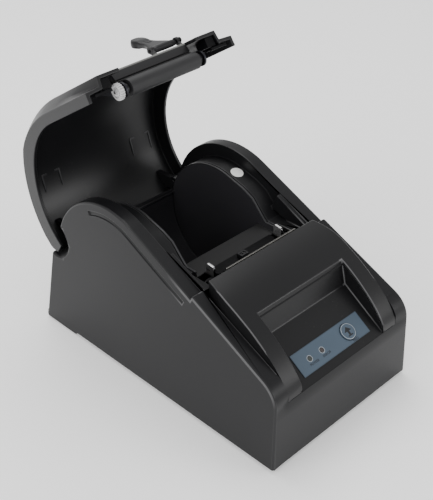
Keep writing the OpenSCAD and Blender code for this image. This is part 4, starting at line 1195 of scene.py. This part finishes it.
newPiece("lidMarks", boxes("lidMarks", markRows(markValues), 0.0001, turnPoint), "markBlack", "lid")
print("lid front done")

# millimetres on the label panel
captionValues = {
    "size": 2.05,
    "words": {"POWER": (-16.6, 8.9), "ERROR": (-6.4, 8.9), "FEED": (16.3, 6.1)},
    "out": 0.41,
    "thickness": 0.02,
    "bold": 0.02,
}


def wordMesh(word, v, place):
    curve = bpy.data.curves.new(word, "FONT")
    curve.body = word
    curve.size = v["size"]
    curve.align_x = "CENTER"
    curve.align_y = "CENTER"
    curve.extrude = v["thickness"]
    curve.offset = v["bold"]
    bm = bmesh.new()
    bm.from_mesh(evaluated(curve, lambda obj: None))
    for c in bm.verts:
        c.co = place(c.co.x, c.co.y, c.co.z)
    bmesh.ops.remove_doubles(bm, verts=bm.verts, dist=1e-7)
    return asMesh(bm, word)


def addWords(v):
    for word, (x, up) in v["words"].items():
        mesh = wordMesh(word, v, lambda a, b, c: panelPoint(x + a, up + b, v["out"] + c))
        newPiece("caption" + word.title(), mesh, "captionInk", "case")


addWords(captionValues)

for name, node in nodes.items():
    if not node.hide_render:
        node.data.materials.clear()
        node.data.materials.append(finishes[nodeFinishes.get(name, "partBlack")])
        print("kept as it is:", name)

stageValues = {"half": 4.0, "tints": (0.95, 0.97), "floorGlow": 0.25, "world": 0.9}


def addFloor(v):
    mesh = bpy.data.meshes.new("floor")
    corners = [(x * v["half"], y * v["half"], 0) for x, y in ((-1, -1), (1, -1), (1, 1), (-1, 1))]
    mesh.from_pydata(corners, [], [(0, 1, 2, 3)])
    floor = linked("floor", mesh)
    f = Finish("paleFloor")
    tone = f.blend(f.noise(3), *(shade((tint, tint, tint)) for tint in v["tints"]))
    mesh.materials.append(f.set(colour=tone, rough=0.8, level=0.2, glow=(1, 1, 1, 1), glowing=v["floorGlow"]))


def addLight(name, v):
    data = bpy.data.lights.new(name, "AREA")
    data.shape = "RECTANGLE"
    data.size, data.size_y = v["size"]
    data.energy = v["power"]
    light = linked(name, data)
    direction = Vector(v["aim"]) - Vector(v["place"])
    turn = direction.to_track_quat("-Z", "Y").to_matrix().to_4x4()
    light.matrix_world = Matrix.Translation(v["place"]) @ turn


addFloor(stageValues)
# metres and watts
lights = {
    "softLeft": {"place": (-1.0, 0.05, 0.7), "aim": (0, 0, 0.05), "size": (0.9, 0.7), "power": 5},
    "softFront": {"place": (-0.4, -1.1, 0.75), "aim": (0, 0, 0.06), "size": (0.9, 0.6), "power": 0.5},
    "lowFront": {"place": (0.55, -1.0, 0.42), "aim": (0, 0.03, 0.13), "size": (0.5, 0.35), "power": 3.2},
    "softTop": {"place": (0.2, 0.5, 1.2), "aim": (0, 0, 0.05), "size": (0.9, 0.9), "power": 9},
}
for name, v in lights.items():
    addLight(name, v)
world = bpy.data.worlds.new("studio")
bpy.context.scene.world = world
world.use_nodes = True
sky = world.node_tree.nodes["Background"].inputs
sky["Color"].default_value = (1, 1, 1, 1)
sky["Strength"].default_value = stageValues["world"]
print("stage lit")
